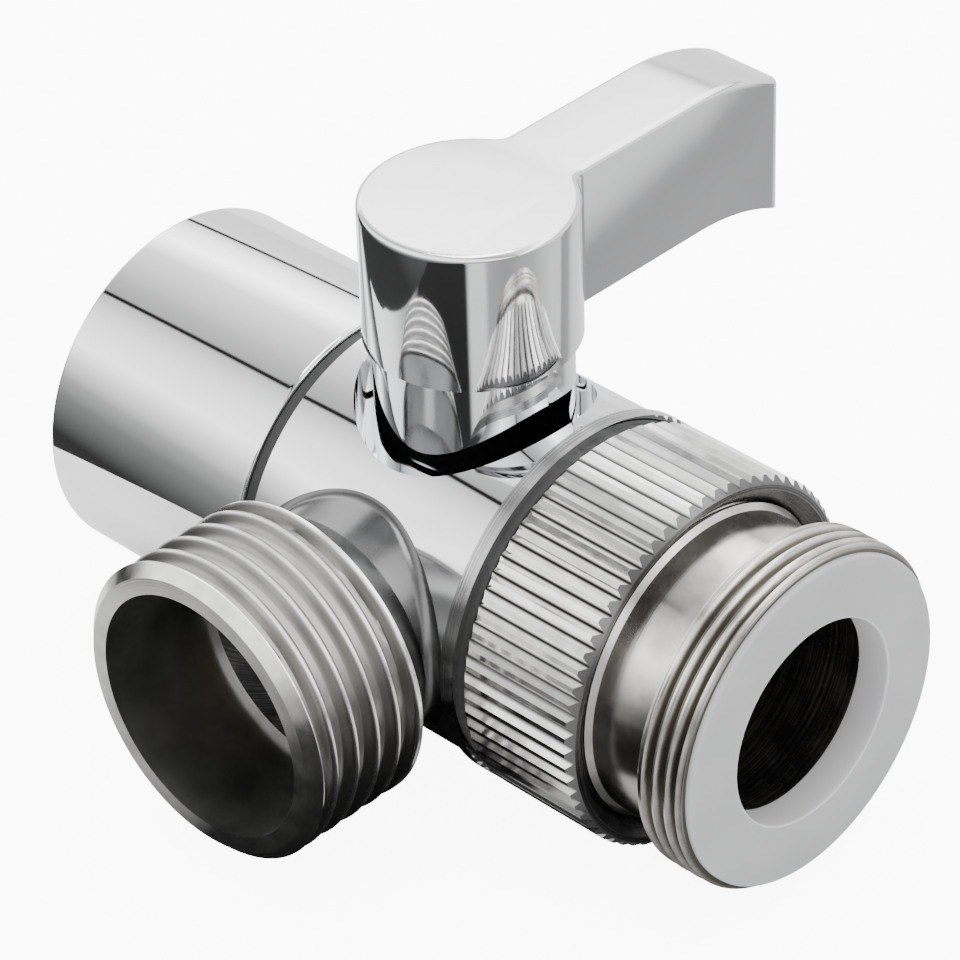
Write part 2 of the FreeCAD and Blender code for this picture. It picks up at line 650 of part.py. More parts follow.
def aerator_cup():
    """Insert's sleeve, stepped inside to carry the stacked pieces."""
    return turned([
        (AERATOR_TOP_X, CUP_BORE),
        (AERATOR_TOP_X, CUP_RADIUS),
        (CUP_END_X + EDGE_BREAK, CUP_RADIUS),
        (CUP_END_X, CUP_RADIUS - EDGE_BREAK),
        (CUP_END_X, CUP_LIP_RADIUS),
        (CUP_LIP_X, CUP_LIP_RADIUS),
        (CUP_LIP_X, CUP_STEP_RADIUS),
        (CUP_STEP_X, CUP_STEP_RADIUS),
        (CUP_STEP_X, CUP_BORE),
    ], X_AXIS)


def hole_grid(pitch, limit):
    """Return (y, z) centres of a six-sided grid inside a circle."""
    row_step = pitch * math.sqrt(3) / 2
    rows = int(limit / row_step) + 1
    centres = []
    for row in range(-rows, rows + 1):
        shift = pitch / 2 if row % 2 else 0.0
        for column in range(-rows, rows + 1):
            y, z = column * pitch + shift, row * row_step
            if math.hypot(y, z) <= limit:
                centres.append((y, z))
    return centres


def aerator_screen():
    """Inlet disc with a grid of round holes."""
    radius = CUP_BORE - RUNNING_GAP
    disc = rod(SCREEN_END_X, AERATOR_TOP_X, radius, X_AXIS)
    low, high = SCREEN_END_X - OVERCUT, AERATOR_TOP_X + OVERCUT
    centres = hole_grid(SCREEN_HOLE_PITCH, radius - SCREEN_HOLE_RADIUS - SCREEN_RIM)
    return disc.cut([rod(low, high, SCREEN_HOLE_RADIUS, X_AXIS, Vector(0, y, z)) for y, z in centres])


def aerator_diffuser():
    """Disc with a ring of jets and a raised rim that carries the screen."""
    radius = CUP_BORE - RUNNING_GAP
    floor = CUP_STEP_X + DIFFUSER_FLOOR_LENGTH
    disc = turned([
        (CUP_STEP_X, 0),
        (CUP_STEP_X, radius),
        (SCREEN_END_X, radius),
        (SCREEN_END_X, radius - DIFFUSER_RIM_WALL),
        (floor, radius - DIFFUSER_RIM_WALL),
        (floor, radius - DIFFUSER_CONE_INSET),
        (floor + DIFFUSER_CONE_RISE, 0),
    ], X_AXIS)
    circle = radius - DIFFUSER_JET_INSET
    jets = []
    for index in range(DIFFUSER_HOLES):
        turn = 2 * math.pi * index / DIFFUSER_HOLES
        centre = Vector(0, circle * math.cos(turn), circle * math.sin(turn))
        jets.append(rod(CUP_STEP_X - OVERCUT, floor + OVERCUT, DIFFUSER_HOLE_RADIUS, X_AXIS, centre))
    return disc.cut(jets)


def aerator_honeycomb():
    """Outlet grid with six-sided cells, resting on the cup's lip."""
    radius = CUP_STEP_RADIUS - RUNNING_GAP
    end = CUP_LIP_X + HONEYCOMB_LENGTH
    disc = rod(CUP_LIP_X, end, radius, X_AXIS)
    cell = (HONEYCOMB_PITCH - HONEYCOMB_WALL) / math.sqrt(3)
    low, high = CUP_LIP_X - OVERCUT, end + OVERCUT
    centres = hole_grid(HONEYCOMB_PITCH, radius - cell - HONEYCOMB_RIM)
    return disc.cut([six_sided(cell, low, high, X_AXIS, Vector(0, y, z)) for y, z in centres])


PIECES = {
    "valve_body": valve_body,
    "port_liner": port_liner,
    "diverter_plug": diverter_plug,
    "stem_ring_lower": lambda: o_ring(O_RING_LOWER),
    "stem_ring_upper": lambda: o_ring(O_RING_UPPER),
    "thrust_washer": thrust_washer,
    "bonnet_nut": bonnet_nut,
    "handle": handle,
    "handle_screw": handle_screw,
    "slip_ring": slip_ring,
    "snap_ring": snap_ring,
    "swivel_nut": swivel_nut,
    "adapter_gasket": adapter_gasket,
    "thread_adapter": thread_adapter,
    "face_washer": face_washer,
    "ring_seal": ring_seal,
    "aerator_housing": aerator_housing,
    "aerator_gasket": aerator_gasket,
    "aerator_cup": aerator_cup,
    "aerator_screen": aerator_screen,
    "aerator_diffuser": aerator_diffuser,
    "aerator_honeycomb": aerator_honeycomb,
}

for name, build in PIECES.items():
    shape = build()
    solid = shape.Solids[0] if len(shape.Solids) == 1 else shape
    print(name, len(shape.Solids), solid.isValid(), round(solid.Volume, 1), len(solid.Faces))
    solid.exportStep("parts/" + name + ".step")
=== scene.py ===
import json
import logging
import math
from collections.abc import Callable
from dataclasses import dataclass, field
from enum import Enum

import bmesh
import bpy
from bmesh.types import BMEdge, BMesh, BMVert
from bpy.types import Material, Node, NodeSocket, NodeTree, Object
from mathutils import Matrix, Vector

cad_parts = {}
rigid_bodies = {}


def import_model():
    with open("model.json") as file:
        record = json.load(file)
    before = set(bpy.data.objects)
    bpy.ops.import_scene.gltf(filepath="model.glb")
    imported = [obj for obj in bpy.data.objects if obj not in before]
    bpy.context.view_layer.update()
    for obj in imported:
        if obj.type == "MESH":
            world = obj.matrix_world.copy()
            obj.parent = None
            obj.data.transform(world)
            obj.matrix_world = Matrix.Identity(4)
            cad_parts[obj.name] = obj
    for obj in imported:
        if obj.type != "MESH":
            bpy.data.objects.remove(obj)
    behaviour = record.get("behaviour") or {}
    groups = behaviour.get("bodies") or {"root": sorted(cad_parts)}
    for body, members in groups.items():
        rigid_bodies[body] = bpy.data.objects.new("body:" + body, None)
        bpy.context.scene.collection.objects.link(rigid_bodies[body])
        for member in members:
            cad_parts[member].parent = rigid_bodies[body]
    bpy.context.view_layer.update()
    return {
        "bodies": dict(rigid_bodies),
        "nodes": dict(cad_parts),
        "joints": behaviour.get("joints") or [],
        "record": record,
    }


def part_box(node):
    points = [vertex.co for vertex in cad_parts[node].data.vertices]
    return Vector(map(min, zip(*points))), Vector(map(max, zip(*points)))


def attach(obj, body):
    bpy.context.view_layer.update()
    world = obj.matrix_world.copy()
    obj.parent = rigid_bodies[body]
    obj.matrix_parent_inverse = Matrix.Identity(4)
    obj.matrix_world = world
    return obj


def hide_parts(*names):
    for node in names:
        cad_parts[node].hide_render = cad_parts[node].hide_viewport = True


LOG = logging.getLogger("diverter_valve")
MM = 0.001
TOUCH = 1e-7
MATH = "ShaderNodeMath"
VECTOR_MATH = "ShaderNodeVectorMath"
MEASURES = ("DOT_PRODUCT", "LENGTH")


class Body(str, Enum):
    """The moving bodies that pieces ride on."""

    VALVE = "valve"
    LEVER = "lever"
    NUT = "nut"
    WASHER = "washer"
    ADAPTER = "adapter"
    INSERT = "insert"
    HOUSING = "housing"


class Slot(str, Enum):
    """The record's material slots of the pieces made here."""

    CHROME = "chrome"
    HANDLE_CHROME = "handle_chrome"
    NUT_CHROME = "nut_chrome"
    NICKEL = "nickel"
    MILKY_SILICONE = "milky_silicone"


class Direction(Enum):
    """Axes that turned pieces stand on, as unit vectors."""

    INLET = (1.0, 0.0, 0.0)
    OUTLET = (0.0, -1.0, 0.0)
    UP = (0.0, 0.0, 1.0)


Triple = tuple[float, float, float]
Tones = tuple[tuple[float, float], ...]
Value = NodeSocket | float | Vector | Triple


def give(tree: NodeTree, value: Value, socket: NodeSocket) -> None:
    """Lead a value into a socket, or write it there.

    Args:
        tree: The tree.
        value: A socket, a number or a vector.
        socket: The socket that takes it.
    """
    if isinstance(value, NodeSocket):
        tree.links.new(value, socket)
    else:
        socket.default_value = value


def calculated(tree: NodeTree, kind: str, operation: str, *values: Value) -> NodeSocket:
    """Place one calculation in a node tree.

    Args:
        tree: The tree.
        kind: MATH or VECTOR_MATH.
        operation: Name of the operation.
        *values: Its values.

    Returns:
        The result's socket.
    """
    node = tree.nodes.new(kind)
    node.operation = operation
    for socket, value in zip(node.inputs, values):
        give(tree, value, socket)
    return node.outputs["Value" if operation in MEASURES else 0]


def ranged(tree: NodeTree, value: NodeSocket, smooth: bool = False, **ends: Value) -> NodeSocket:
    """Carry a value from one range to another.

    Args:
        tree: The tree.
        value: The value's socket.
        smooth: Whether it eases in and out.
        **ends: The ranges' ends by the names of their sockets; an
            underscore stands for a space.

    Returns:
        The result's socket.
    """
    node = tree.nodes.new("ShaderNodeMapRange")
    if smooth:
        node.interpolation_type = "SMOOTHSTEP"
    tree.links.new(value, node.inputs["Value"])
    for name, end in ends.items():
        give(tree, end, node.inputs[name.replace("_", " ")])
    return node.outputs["Result"]


@dataclass(frozen=True)
class PhotoCamera:
    """The camera that took the picture, seen from the valve.

    Attributes:
        azimuth_deg: Turn about +Z, from looking along +Y.
        elevation_deg: Height above the floor plane.
        roll_deg: Tilt of the picture, clockwise.
        focal_px: Focal length in pixels of the square picture.
        picture_px: Side of the square picture.
        distance: Distance to the aim point, in metres.
        aim: The point on the view axis, in metres.
    """

    azimuth_deg: float = 45.18
    elevation_deg: float = 35.81
    roll_deg: float = 1.91
    focal_px: float = 5072.0
    picture_px: float = 960.0
    distance: float = 0.33133
    aim: Triple = (-0.02981, 0.00163, 0.00308)

    def build(self) -> Object:
        """Make the camera and set it as the scene's own.

        Returns:
            The camera object.
        """
        turn = math.radians(self.azimuth_deg)
        rise = math.radians(self.elevation_deg)
        roll = math.radians(self.roll_deg)
        back = Vector((math.sin(turn) * math.cos(rise), -math.cos(turn) * math.cos(rise), math.sin(rise)))
        level = Vector((math.cos(turn), math.sin(turn), 0.0))
        upright = back.cross(level)
        right = level * math.cos(roll) - upright * math.sin(roll)
        up = back.cross(right)
        data = bpy.data.cameras.new("picture_camera")
        data.sensor_width = 36.0
        data.lens = self.focal_px * data.sensor_width / self.picture_px
        data.clip_start = 0.01
        data.clip_end = 20.0
        camera = bpy.data.objects.new("picture_camera", data)
        frame = Matrix((right, up, back)).transposed().to_4x4()
        frame.translation = Vector(self.aim) + back * self.distance
        camera.matrix_world = frame
        bpy.context.scene.collection.objects.link(camera)
        bpy.context.scene.camera = camera
        return camera


@dataclass(frozen=True)
class SoftLight:
    """One large soft light.

    Attributes:
        name: Name of the light.
        place: Where it stands, in metres.
        size: Its two sides, in metres.
        power: Its power in watts.
    """

    name: str
    place: Triple
    size: tuple[float, float]
    power: float


@dataclass(frozen=True)
class Studio:
    """Pale sheet, one soft light overhead and a room that the plating sees.

    Attributes:
        aim: The point that the lights face, in metres.
        paper: Grey of the sheet.
        sheet_level: Height of the sheet, in metres.
        sheet_across: Its edges to the left and right of the picture.
        sheet_along: Its edges before and behind the valve.
        azimuth_deg: Turn of the sheet, that of the camera.
        sheet_tones: Tones that the plating sees on the sheet: degrees round
            the handle from the camera's side, and the grey that is there.
        room: Tones round the valve's long axis: degrees from overhead
            towards the side outlet, and the grey that is seen there.
        daylight: Strength of the plain room light.
        plating_light: Strength of the room that the plating sees.
        glow: How much brighter the sheet and the room are to the camera.
        lights: The soft lights.
    """

    aim: Triple = (-0.028, 0.0, 0.005)
    paper: float = 0.96
    sheet_level: float = -0.0131
    sheet_across: tuple[float, float] = (-0.05, 0.4)
    sheet_along: tuple[float, float] = (-0.25, 0.5)
    azimuth_deg: float = 45.18
    sheet_tones: Tones = (
        (-180.0, 0.9), (-104.0, 0.95), (-88.0, 0.8), (-72.0, 0.35), (-58.0, 0.2), (-52.0, 0.01),
        (-6.0, 0.01), (-2.0, 0.55), (12.0, 0.55), (16.0, 0.25), (34.0, 0.2), (62.0, 0.3), (86.0, 0.5),
        (98.0, 0.5), (101.5, 0.2), (112.0, 0.24), (120.0, 0.5), (180.0, 0.9),
    )
    room: Tones = (
        (-180.0, 0.5), (-110.0, 0.9), (-105.0, 0.9), (-104.0, 0.01), (-102.0, 0.01), (-101.0, 0.98),
        (-70.0, 1.1), (-64.5, 1.3), (-63.8, 0.01), (-61.6, 0.01), (-60.8, 1.2), (-52.0, 2.2), (-38.0, 3.2),
        (-22.0, 1.3), (8.0, 0.6), (19.0, 0.45), (19.4, 0.01), (21.6, 0.01), (22.0, 0.7), (40.0, 1.5),
        (60.0, 2.0), (72.0, 1.1), (86.0, 0.4), (98.0, 0.2), (126.0, 0.03), (179.0, 0.04),
    )
    daylight: float = 1.8
    plating_light: float = 1.6
    glow: float = 9.0
    lights: tuple[SoftLight, ...] = (
        SoftLight("top_light", (-0.02, 0.05, 0.9), (0.5, 0.5), 5.0),
    )

    def build(self, handle_x: float) -> None:
        """Make the sheet, the room and the lights.

        Args:
            handle_x: Where the handle's axis crosses the valve's length.
        """
        turn = math.radians(self.azimuth_deg)
        right = Vector((math.cos(turn), math.sin(turn), 0.0))
        ahead = Vector((-math.sin(turn), math.cos(turn), 0.0))
        middle = Vector((handle_x, 0.0, self.sheet_level))
        (left, far_right), (front, back) = self.sheet_across, self.sheet_along
        corners = [middle + right * across + ahead * along
                   for across, along in ((left, front), (far_right, front), (far_right, back), (left, back))]
        mesh = bpy.data.meshes.new("pale_sheet")
        mesh.from_pydata(corners, [], [(0, 1, 2, 3)])
        mesh.materials.append(self._sheet_material(middle, right, -ahead))
        sheet = bpy.data.objects.new("pale_sheet", mesh)
        bpy.context.scene.collection.objects.link(sheet)
        self._room()
        for light in self.lights:
            self._light(light)

    def _sheet_material(self, middle: Vector, right: Vector, forward: Vector) -> Material:
        """Make the sheet's paper: pale, but toned where the plating sees it.

        Args:
            middle: The point below the handle.
            right: Direction to the right of the picture.
            forward: Direction towards the camera.

        Returns:
            The material.
        """
        paint = Paint("pale_sheet")
        paint.set(Roughness=0.95, Specular_IOR_Level=0.1, Emission_Strength=1.0)
        place = paint.tree.nodes.new("ShaderNodeTexCoord")
        shift = calculated(paint.tree, VECTOR_MATH, "SUBTRACT", place.outputs["Object"], middle)
        across, towards = (calculated(paint.tree, VECTOR_MATH, "DOT_PRODUCT", shift, way)
                           for way in (right, forward))
        angle = calculated(paint.tree, MATH, "ARCTAN2", across, towards)
        tones = self._tones(paint.tree, angle, self.sheet_tones)
        path = paint.tree.nodes.new("ShaderNodeLightPath")
        paint.link(paint.mixed(path.outputs["Is Glossy Ray"], (self.paper,) * 3, tones), "Base Color")
        paint.link(paint.scaled((self.glow,) * 3, path.outputs["Is Camera Ray"]), "Emission Color")
        return paint.material

    @staticmethod
    def _tones(tree: NodeTree, angle: NodeSocket, tones: Tones) -> NodeSocket:
        """Turn an angle into a grey.

        Args:
            tree: The tree.
            angle: The angle's socket, in radians.
            tones: Degrees and greys.

        Returns:
            The grey's socket.
        """
        share = calculated(tree, MATH, "MULTIPLY_ADD", angle, 0.5 / math.pi, 0.5)
        ramp = tree.nodes.new("ShaderNodeValToRGB")
        tree.links.new(share, ramp.inputs["Fac"])
        bands = ramp.color_ramp.elements
        while len(bands) < len(tones):
            bands.new(1.0)
        for band, (degrees, grey) in zip(bands, tones):
            band.position = (degrees + 180.0) / 360.0
            band.color = (grey, grey, grey, 1.0)
        return ramp.outputs["Color"]

    def _room(self) -> None:
        """Make the room: plain and pale, but banded in the plating."""
        world = bpy.data.worlds.new("soft_room")
        world.use_nodes = True
        tree = world.node_tree
        path = tree.nodes.new("ShaderNodeLightPath")
        place = tree.nodes.new("ShaderNodeTexCoord")
        split = tree.nodes.new("ShaderNodeSeparateXYZ")
        tree.links.new(place.outputs["Generated"], split.inputs["Vector"])
        outwards = calculated(tree, MATH, "MULTIPLY", split.outputs["Y"], -1.0)
        angle = calculated(tree, MATH, "ARCTAN2", outwards, split.outputs["Z"])
        plain = tree.nodes.new("ShaderNodeBackground")
        plain.inputs["Color"].default_value = (1.0, 1.0, 1.0, 1.0)
        seen = path.outputs["Is Camera Ray"]
        bright = calculated(tree, MATH, "MULTIPLY_ADD", seen, self.glow, self.daylight)
        tree.links.new(bright, plain.inputs["Strength"])
        banded = tree.nodes["Background"]
        banded.inputs["Strength"].default_value = self.plating_light
        tree.links.new(self._tones(tree, angle, self.room), banded.inputs["Color"])
        either = tree.nodes.new("ShaderNodeMixShader")
        tree.links.new(path.outputs["Is Glossy Ray"], either.inputs["Fac"])
        tree.links.new(plain.outputs["Background"], either.inputs[1])
        tree.links.new(banded.outputs["Background"], either.inputs[2])
        tree.links.new(either.outputs["Shader"], tree.nodes["World Output"].inputs["Surface"])
        bpy.context.scene.world = world

    def _light(self, light: SoftLight) -> None:
        """Make one soft light that faces the valve.

        Args:
            light: What the light is like.
        """
        data = bpy.data.lights.new(light.name, "AREA")
        data.shape = "RECTANGLE"
        data.size, data.size_y = light.size
        data.energy = light.power
        lamp = bpy.data.objects.new(light.name, data)
        turn = (Vector(self.aim) - Vector(light.place)).to_track_quat("-Z", "Y")
        lamp.matrix_world = Matrix.Translation(light.place) @ turn.to_matrix().to_4x4()
        bpy.context.scene.collection.objects.link(lamp)


class Paint:
    """Short helpers for one material's nodes."""

    def __init__(self, name: str) -> None:
        """Start an empty material with its shader.

        Args:
            name: Name of the material.
        """
        self.material = bpy.data.materials.new(name)
        self.material.use_nodes = True
        self.tree = self.material.node_tree
        self.shader = self.tree.nodes["Principled BSDF"]

    def set(self, **values: float | tuple[float, ...]) -> None:
        """Set the shader's own sockets; an underscore stands for a space.

        Args:
            **values: Socket names and their values.
        """
        for name, value in values.items():
            self.shader.inputs[name.replace("_", " ")].default_value = value

    def group(self, kind: NodeTree, **values: float) -> Node:
        """Place a shared group with its own values.

        Args:
            kind: The group's tree.
            **values: The group's inputs.

        Returns:
            The group's node.
        """
        node = self.tree.nodes.new("ShaderNodeGroup")
        node.node_tree = kind
        for name, value in values.items():
            node.inputs[name.replace("_", " ")].default_value = value
        return node

    def scaled(self, tint: Triple, amount: NodeSocket) -> NodeSocket:
        """Scale a colour by a value.

        Args:
            tint: The colour.
            amount: Where the value comes from.

        Returns:
            The scaled colour.
        """
        node = self.tree.nodes.new("ShaderNodeVectorMath")
        node.operation = "SCALE"
        node.inputs[0].default_value = tint
        self.tree.links.new(amount, node.inputs["Scale"])
        return node.outputs[0]

    def mixed(self, mask: NodeSocket, low: Triple, high: NodeSocket) -> NodeSocket:
        """Mix a plain colour with another by a mask.

        Args:
            mask: Where the mask comes from.
            low: Colour where the mask is 0.
            high: Colour where the mask is 1.

        Returns:
            The mixed colour.
        """
        node = self.tree.nodes.new("ShaderNodeMix")
        node.data_type = "RGBA"
        for socket in node.inputs:
            if socket.name == "A" and socket.type == "RGBA":
                socket.default_value = (*low, 1.0)
            if socket.name == "B" and socket.type == "RGBA":
                self.tree.links.new(high, socket)
        self.tree.links.new(mask, node.inputs["Factor"])
        return next(socket for socket in node.outputs if socket.type == "RGBA")

    def link(self, source: NodeSocket, socket: str) -> None:
        """Lead a value into one of the shader's sockets.

        Args:
            source: Where the value comes from.
            socket: Name of the shader's socket.
        """
        self.tree.links.new(source, self.shader.inputs[socket])

    def bump(self, height: NodeSocket, strength: float, depth: float) -> None:
        """Lead a height into the shader's normal.

        Args:
            height: Where the height comes from.
            strength: How strong the relief is, from 0 to 1.
            depth: How deep the relief is, in metres.
        """
        node = self.tree.nodes.new("ShaderNodeBump")
        node.inputs["Strength"].default_value = strength
        node.inputs["Distance"].default_value = depth
        self.tree.links.new(height, node.inputs["Height"])
        self.link(node.outputs["Normal"], "Normal")


AXIS_INPUTS: dict[str, float] = {"Axis X": 0.0, "Along X": 1.0, "Along Y": 0.0, "Along Z": 0.0}


@dataclass
class Effects:
    """Shared shader groups, each built once.

    Attributes:
        wear: Blotchy polish over the whole surface.
        turning: Fine circular marks of a lathe tool about an axis.
        grooves: Mask from the bottom of a groove to its crest, for painted shade in the bottoms.
    """

    wear: NodeTree = field(init=False)
    turning: NodeTree = field(init=False)
    grooves: NodeTree = field(init=False)

    def __post_init__(self) -> None:
        """Build the groups."""
        self.wear = self._wear()
        self.turning = self._turning()
        self.grooves = self._grooves()

    @staticmethod
    def _start(name: str, inputs: dict[str, float], outputs: dict[str, str]
               ) -> tuple[NodeTree, Node, Node]:
        """Start a group with its sockets.

        Args:
            name: Name of the group.
            inputs: Input names and default values.
            outputs: Output names and socket kinds.

        Returns:
            The tree, its input node and its output node.
        """
        tree = bpy.data.node_groups.new(name, "ShaderNodeTree")
        for title, value in inputs.items():
            socket = tree.interface.new_socket(title, in_out="INPUT", socket_type="NodeSocketFloat")
            socket.default_value = value
        for title, kind in outputs.items():
            tree.interface.new_socket(title, in_out="OUTPUT", socket_type=kind)
        return tree, tree.nodes.new("NodeGroupInput"), tree.nodes.new("NodeGroupOutput")

    def _wear(self) -> NodeTree:
        """Build the blotches: a tint, a roughness and a fine height.

        Returns:
            The group's tree.
        """
        tree, given, out = self._start(
            "polish_wear",
            {"Scale": 120.0, "Low Roughness": 0.04, "High Roughness": 0.1, "Low Tint": 0.9, "High Tint": 1.0},
            {"Tint": "NodeSocketFloat", "Roughness": "NodeSocketFloat", "Height": "NodeSocketFloat"},
        )
        place = tree.nodes.new("ShaderNodeTexCoord")
        noise = tree.nodes.new("ShaderNodeTexNoise")
        noise.inputs["Detail"].default_value = 6.0
        tree.links.new(place.outputs["Object"], noise.inputs["Vector"])
        tree.links.new(given.outputs["Scale"], noise.inputs["Scale"])
        for name in ("Roughness", "Tint"):
            spread = ranged(tree, noise.outputs["Fac"], From_Min=0.35, From_Max=0.65,
                            To_Min=given.outputs["Low " + name], To_Max=given.outputs["High " + name])
            tree.links.new(spread, out.inputs[name])
        tree.links.new(noise.outputs["Fac"], out.inputs["Height"])
        return tree

    def _turning(self) -> NodeTree:
        """Build the lathe marks: rings about an axis, by radius and length.

        Returns:
            The group's tree.
        """
        tree, given, out = self._start("turning_marks", AXIS_INPUTS | {"Rings": 6000.0},
                                       {"Mask": "NodeSocketFloat", "Height": "NodeSocketFloat"})
        length, radius = self._around_axis(tree, given)
        total = calculated(tree, MATH, "ADD", length, radius)
        noise = tree.nodes.new("ShaderNodeTexNoise")
        noise.noise_dimensions = "1D"
        noise.inputs["Detail"].default_value = 3.0
        tree.links.new(total, noise.inputs["W"])
        tree.links.new(given.outputs["Rings"], noise.inputs["Scale"])
        spread = ranged(tree, noise.outputs["Fac"], From_Min=0.4, From_Max=0.62)
        tree.links.new(spread, out.inputs["Mask"])
        tree.links.new(noise.outputs["Fac"], out.inputs["Height"])
        return tree

    def _grooves(self) -> NodeTree:
        """Build the groove mask for painted shade: 0 at the bottom radius, 1 at the crest.

        Returns:
            The group's tree.
        """
        tree, given, out = self._start("groove_shade", AXIS_INPUTS | {"Bottom": 0.0, "Crest": 0.01},
                                       {"Mask": "NodeSocketFloat"})
        radius = self._around_axis(tree, given)[1]
        spread = ranged(tree, radius, smooth=True, From_Min=given.outputs["Bottom"],
                        From_Max=given.outputs["Crest"])
        tree.links.new(spread, out.inputs["Mask"])
        return tree

    @staticmethod
    def _around_axis(tree: NodeTree, given: Node) -> tuple[NodeSocket, NodeSocket]:
        """Measure a point from the axis that the inputs name.

        Args:
            tree: The group's tree.
            given: The group's input node.

        Returns:
            The distances along the axis and away from it.
        """
        place = tree.nodes.new("ShaderNodeTexCoord")
        centre = tree.nodes.new("ShaderNodeCombineXYZ")
        along = tree.nodes.new("ShaderNodeCombineXYZ")
        tree.links.new(given.outputs["Axis X"], centre.inputs["X"])
        for name in "XYZ":
            tree.links.new(given.outputs["Along " + name], along.inputs[name])
        shift = calculated(tree, VECTOR_MATH, "SUBTRACT", place.outputs["Object"], centre.outputs[0])
        length = calculated(tree, VECTOR_MATH, "DOT_PRODUCT", shift, along.outputs[0])
        cross = calculated(tree, VECTOR_MATH, "CROSS_PRODUCT", shift, along.outputs[0])
        return length, calculated(tree, VECTOR_MATH, "LENGTH", cross)


@dataclass(frozen=True)
class Grooves:
    """Teeth or a thread whose bottoms are painted darker, as shade, and are duller.

    Attributes:
        bottom: Radius of the bottoms, in metres.
        crest: Radius of the crests, in metres.
        tint: Colour of the painted shade at the bottoms.
        dull: Roughness at the bottoms.
    """

    bottom: float
    crest: float
    tint: Triple
    dull: float


@dataclass(frozen=True)
class Metal:
    """A plated or bare metal.

    Attributes:
        name: Name of the finish.
        tint: Its colour.
        smooth: Roughness where it is brightest.
        dull: Roughness where it is dullest.
        blotch: How many blotches to a metre.
        rings: Lathe rings to a metre, or 0 for none.
        ring_depth: Depth of the lathe rings, in metres.
        axis_x: Where the lathe axis crosses the valve's length, in metres.
        along: The lathe axis.
        grooves: Its grooves, painted darker at the bottoms as shade, if it has any.
        stain: Share of its brightness that the darkest blotches keep.
        ring_shade: Colour between the lathe rings, if they show as lines.
    """

    name: str
    tint: Triple
    smooth: float
    dull: float
    blotch: float = 150.0
    rings: float = 0.0
    ring_depth: float = 0.0
    axis_x: float = 0.0
    along: Direction = Direction.INLET
    grooves: Grooves | None = None
    stain: float = 0.9
    ring_shade: Triple | None = None

    def make(self, effects: Effects) -> Material:
        """Build the material.

        Args:
            effects: The shared groups.

        Returns:
            The material.
        """
        paint = Paint(self.name)
        paint.set(Metallic=1.0)
        wear = paint.group(effects.wear, Scale=self.blotch, Low_Roughness=self.smooth,
                           High_Roughness=self.dull, Low_Tint=self.stain)
        colour = paint.scaled(self.tint, wear.outputs["Tint"])
        roughness = wear.outputs["Roughness"]
        axis = {"Axis_X": self.axis_x}
        axis |= {"Along_" + name: part for name, part in zip("XYZ", self.along.value)}
        if self.grooves:
            # painted shade: the groove bottoms are darkened towards the grooves' tint
            shade = paint.group(effects.grooves, Bottom=self.grooves.bottom, Crest=self.grooves.crest, **axis)
            colour = paint.mixed(shade.outputs["Mask"], self.grooves.tint, colour)
            roughness = ranged(paint.tree, shade.outputs["Mask"], To_Min=self.grooves.dull, To_Max=roughness)
        if self.rings:
            marks = paint.group(effects.turning, Rings=self.rings, **axis)
            paint.bump(marks.outputs["Height"], 1.0, self.ring_depth)
            if self.ring_shade:
                colour = paint.mixed(marks.outputs["Mask"], self.ring_shade, colour)
        paint.link(colour, "Base Color")
        paint.link(roughness, "Roughness")
        return paint.material


@dataclass(frozen=True)
class Polymer:
    """A plastic or rubber.

    Attributes:
        name: Name of the finish.
        tint: Its colour.
        smooth: Roughness where it is shiniest.
        dull: Roughness where it is dullest.
        blotch: How many blotches to a metre.
        relief: Depth of its fine unevenness, in metres.
        glow: How much light passes into it, from 0 to 1.
        stain: Share of its brightness that the darkest blotches keep.
    """

    name: str
    tint: Triple
    smooth: float
    dull: float
    blotch: float = 300.0
    relief: float = 0.00001
    glow: float = 0.0
    stain: float = 0.94

    def make(self, effects: Effects) -> Material:
        """Build the material.

        Args:
            effects: The shared groups.

        Returns:
            The material.
        """
        paint = Paint(self.name)
        if self.glow:
            paint.set(Subsurface_Weight=self.glow, Subsurface_Radius=(0.6, 0.7, 0.8), Subsurface_Scale=0.002)
        wear = paint.group(effects.wear, Scale=self.blotch, Low_Roughness=self.smooth,
                           High_Roughness=self.dull, Low_Tint=self.stain)
        paint.link(wear.outputs["Roughness"], "Roughness")
        paint.link(paint.scaled(self.tint, wear.outputs["Tint"]), "Base Color")
        paint.bump(wear.outputs["Height"], 0.5, self.relief)
        return paint.material


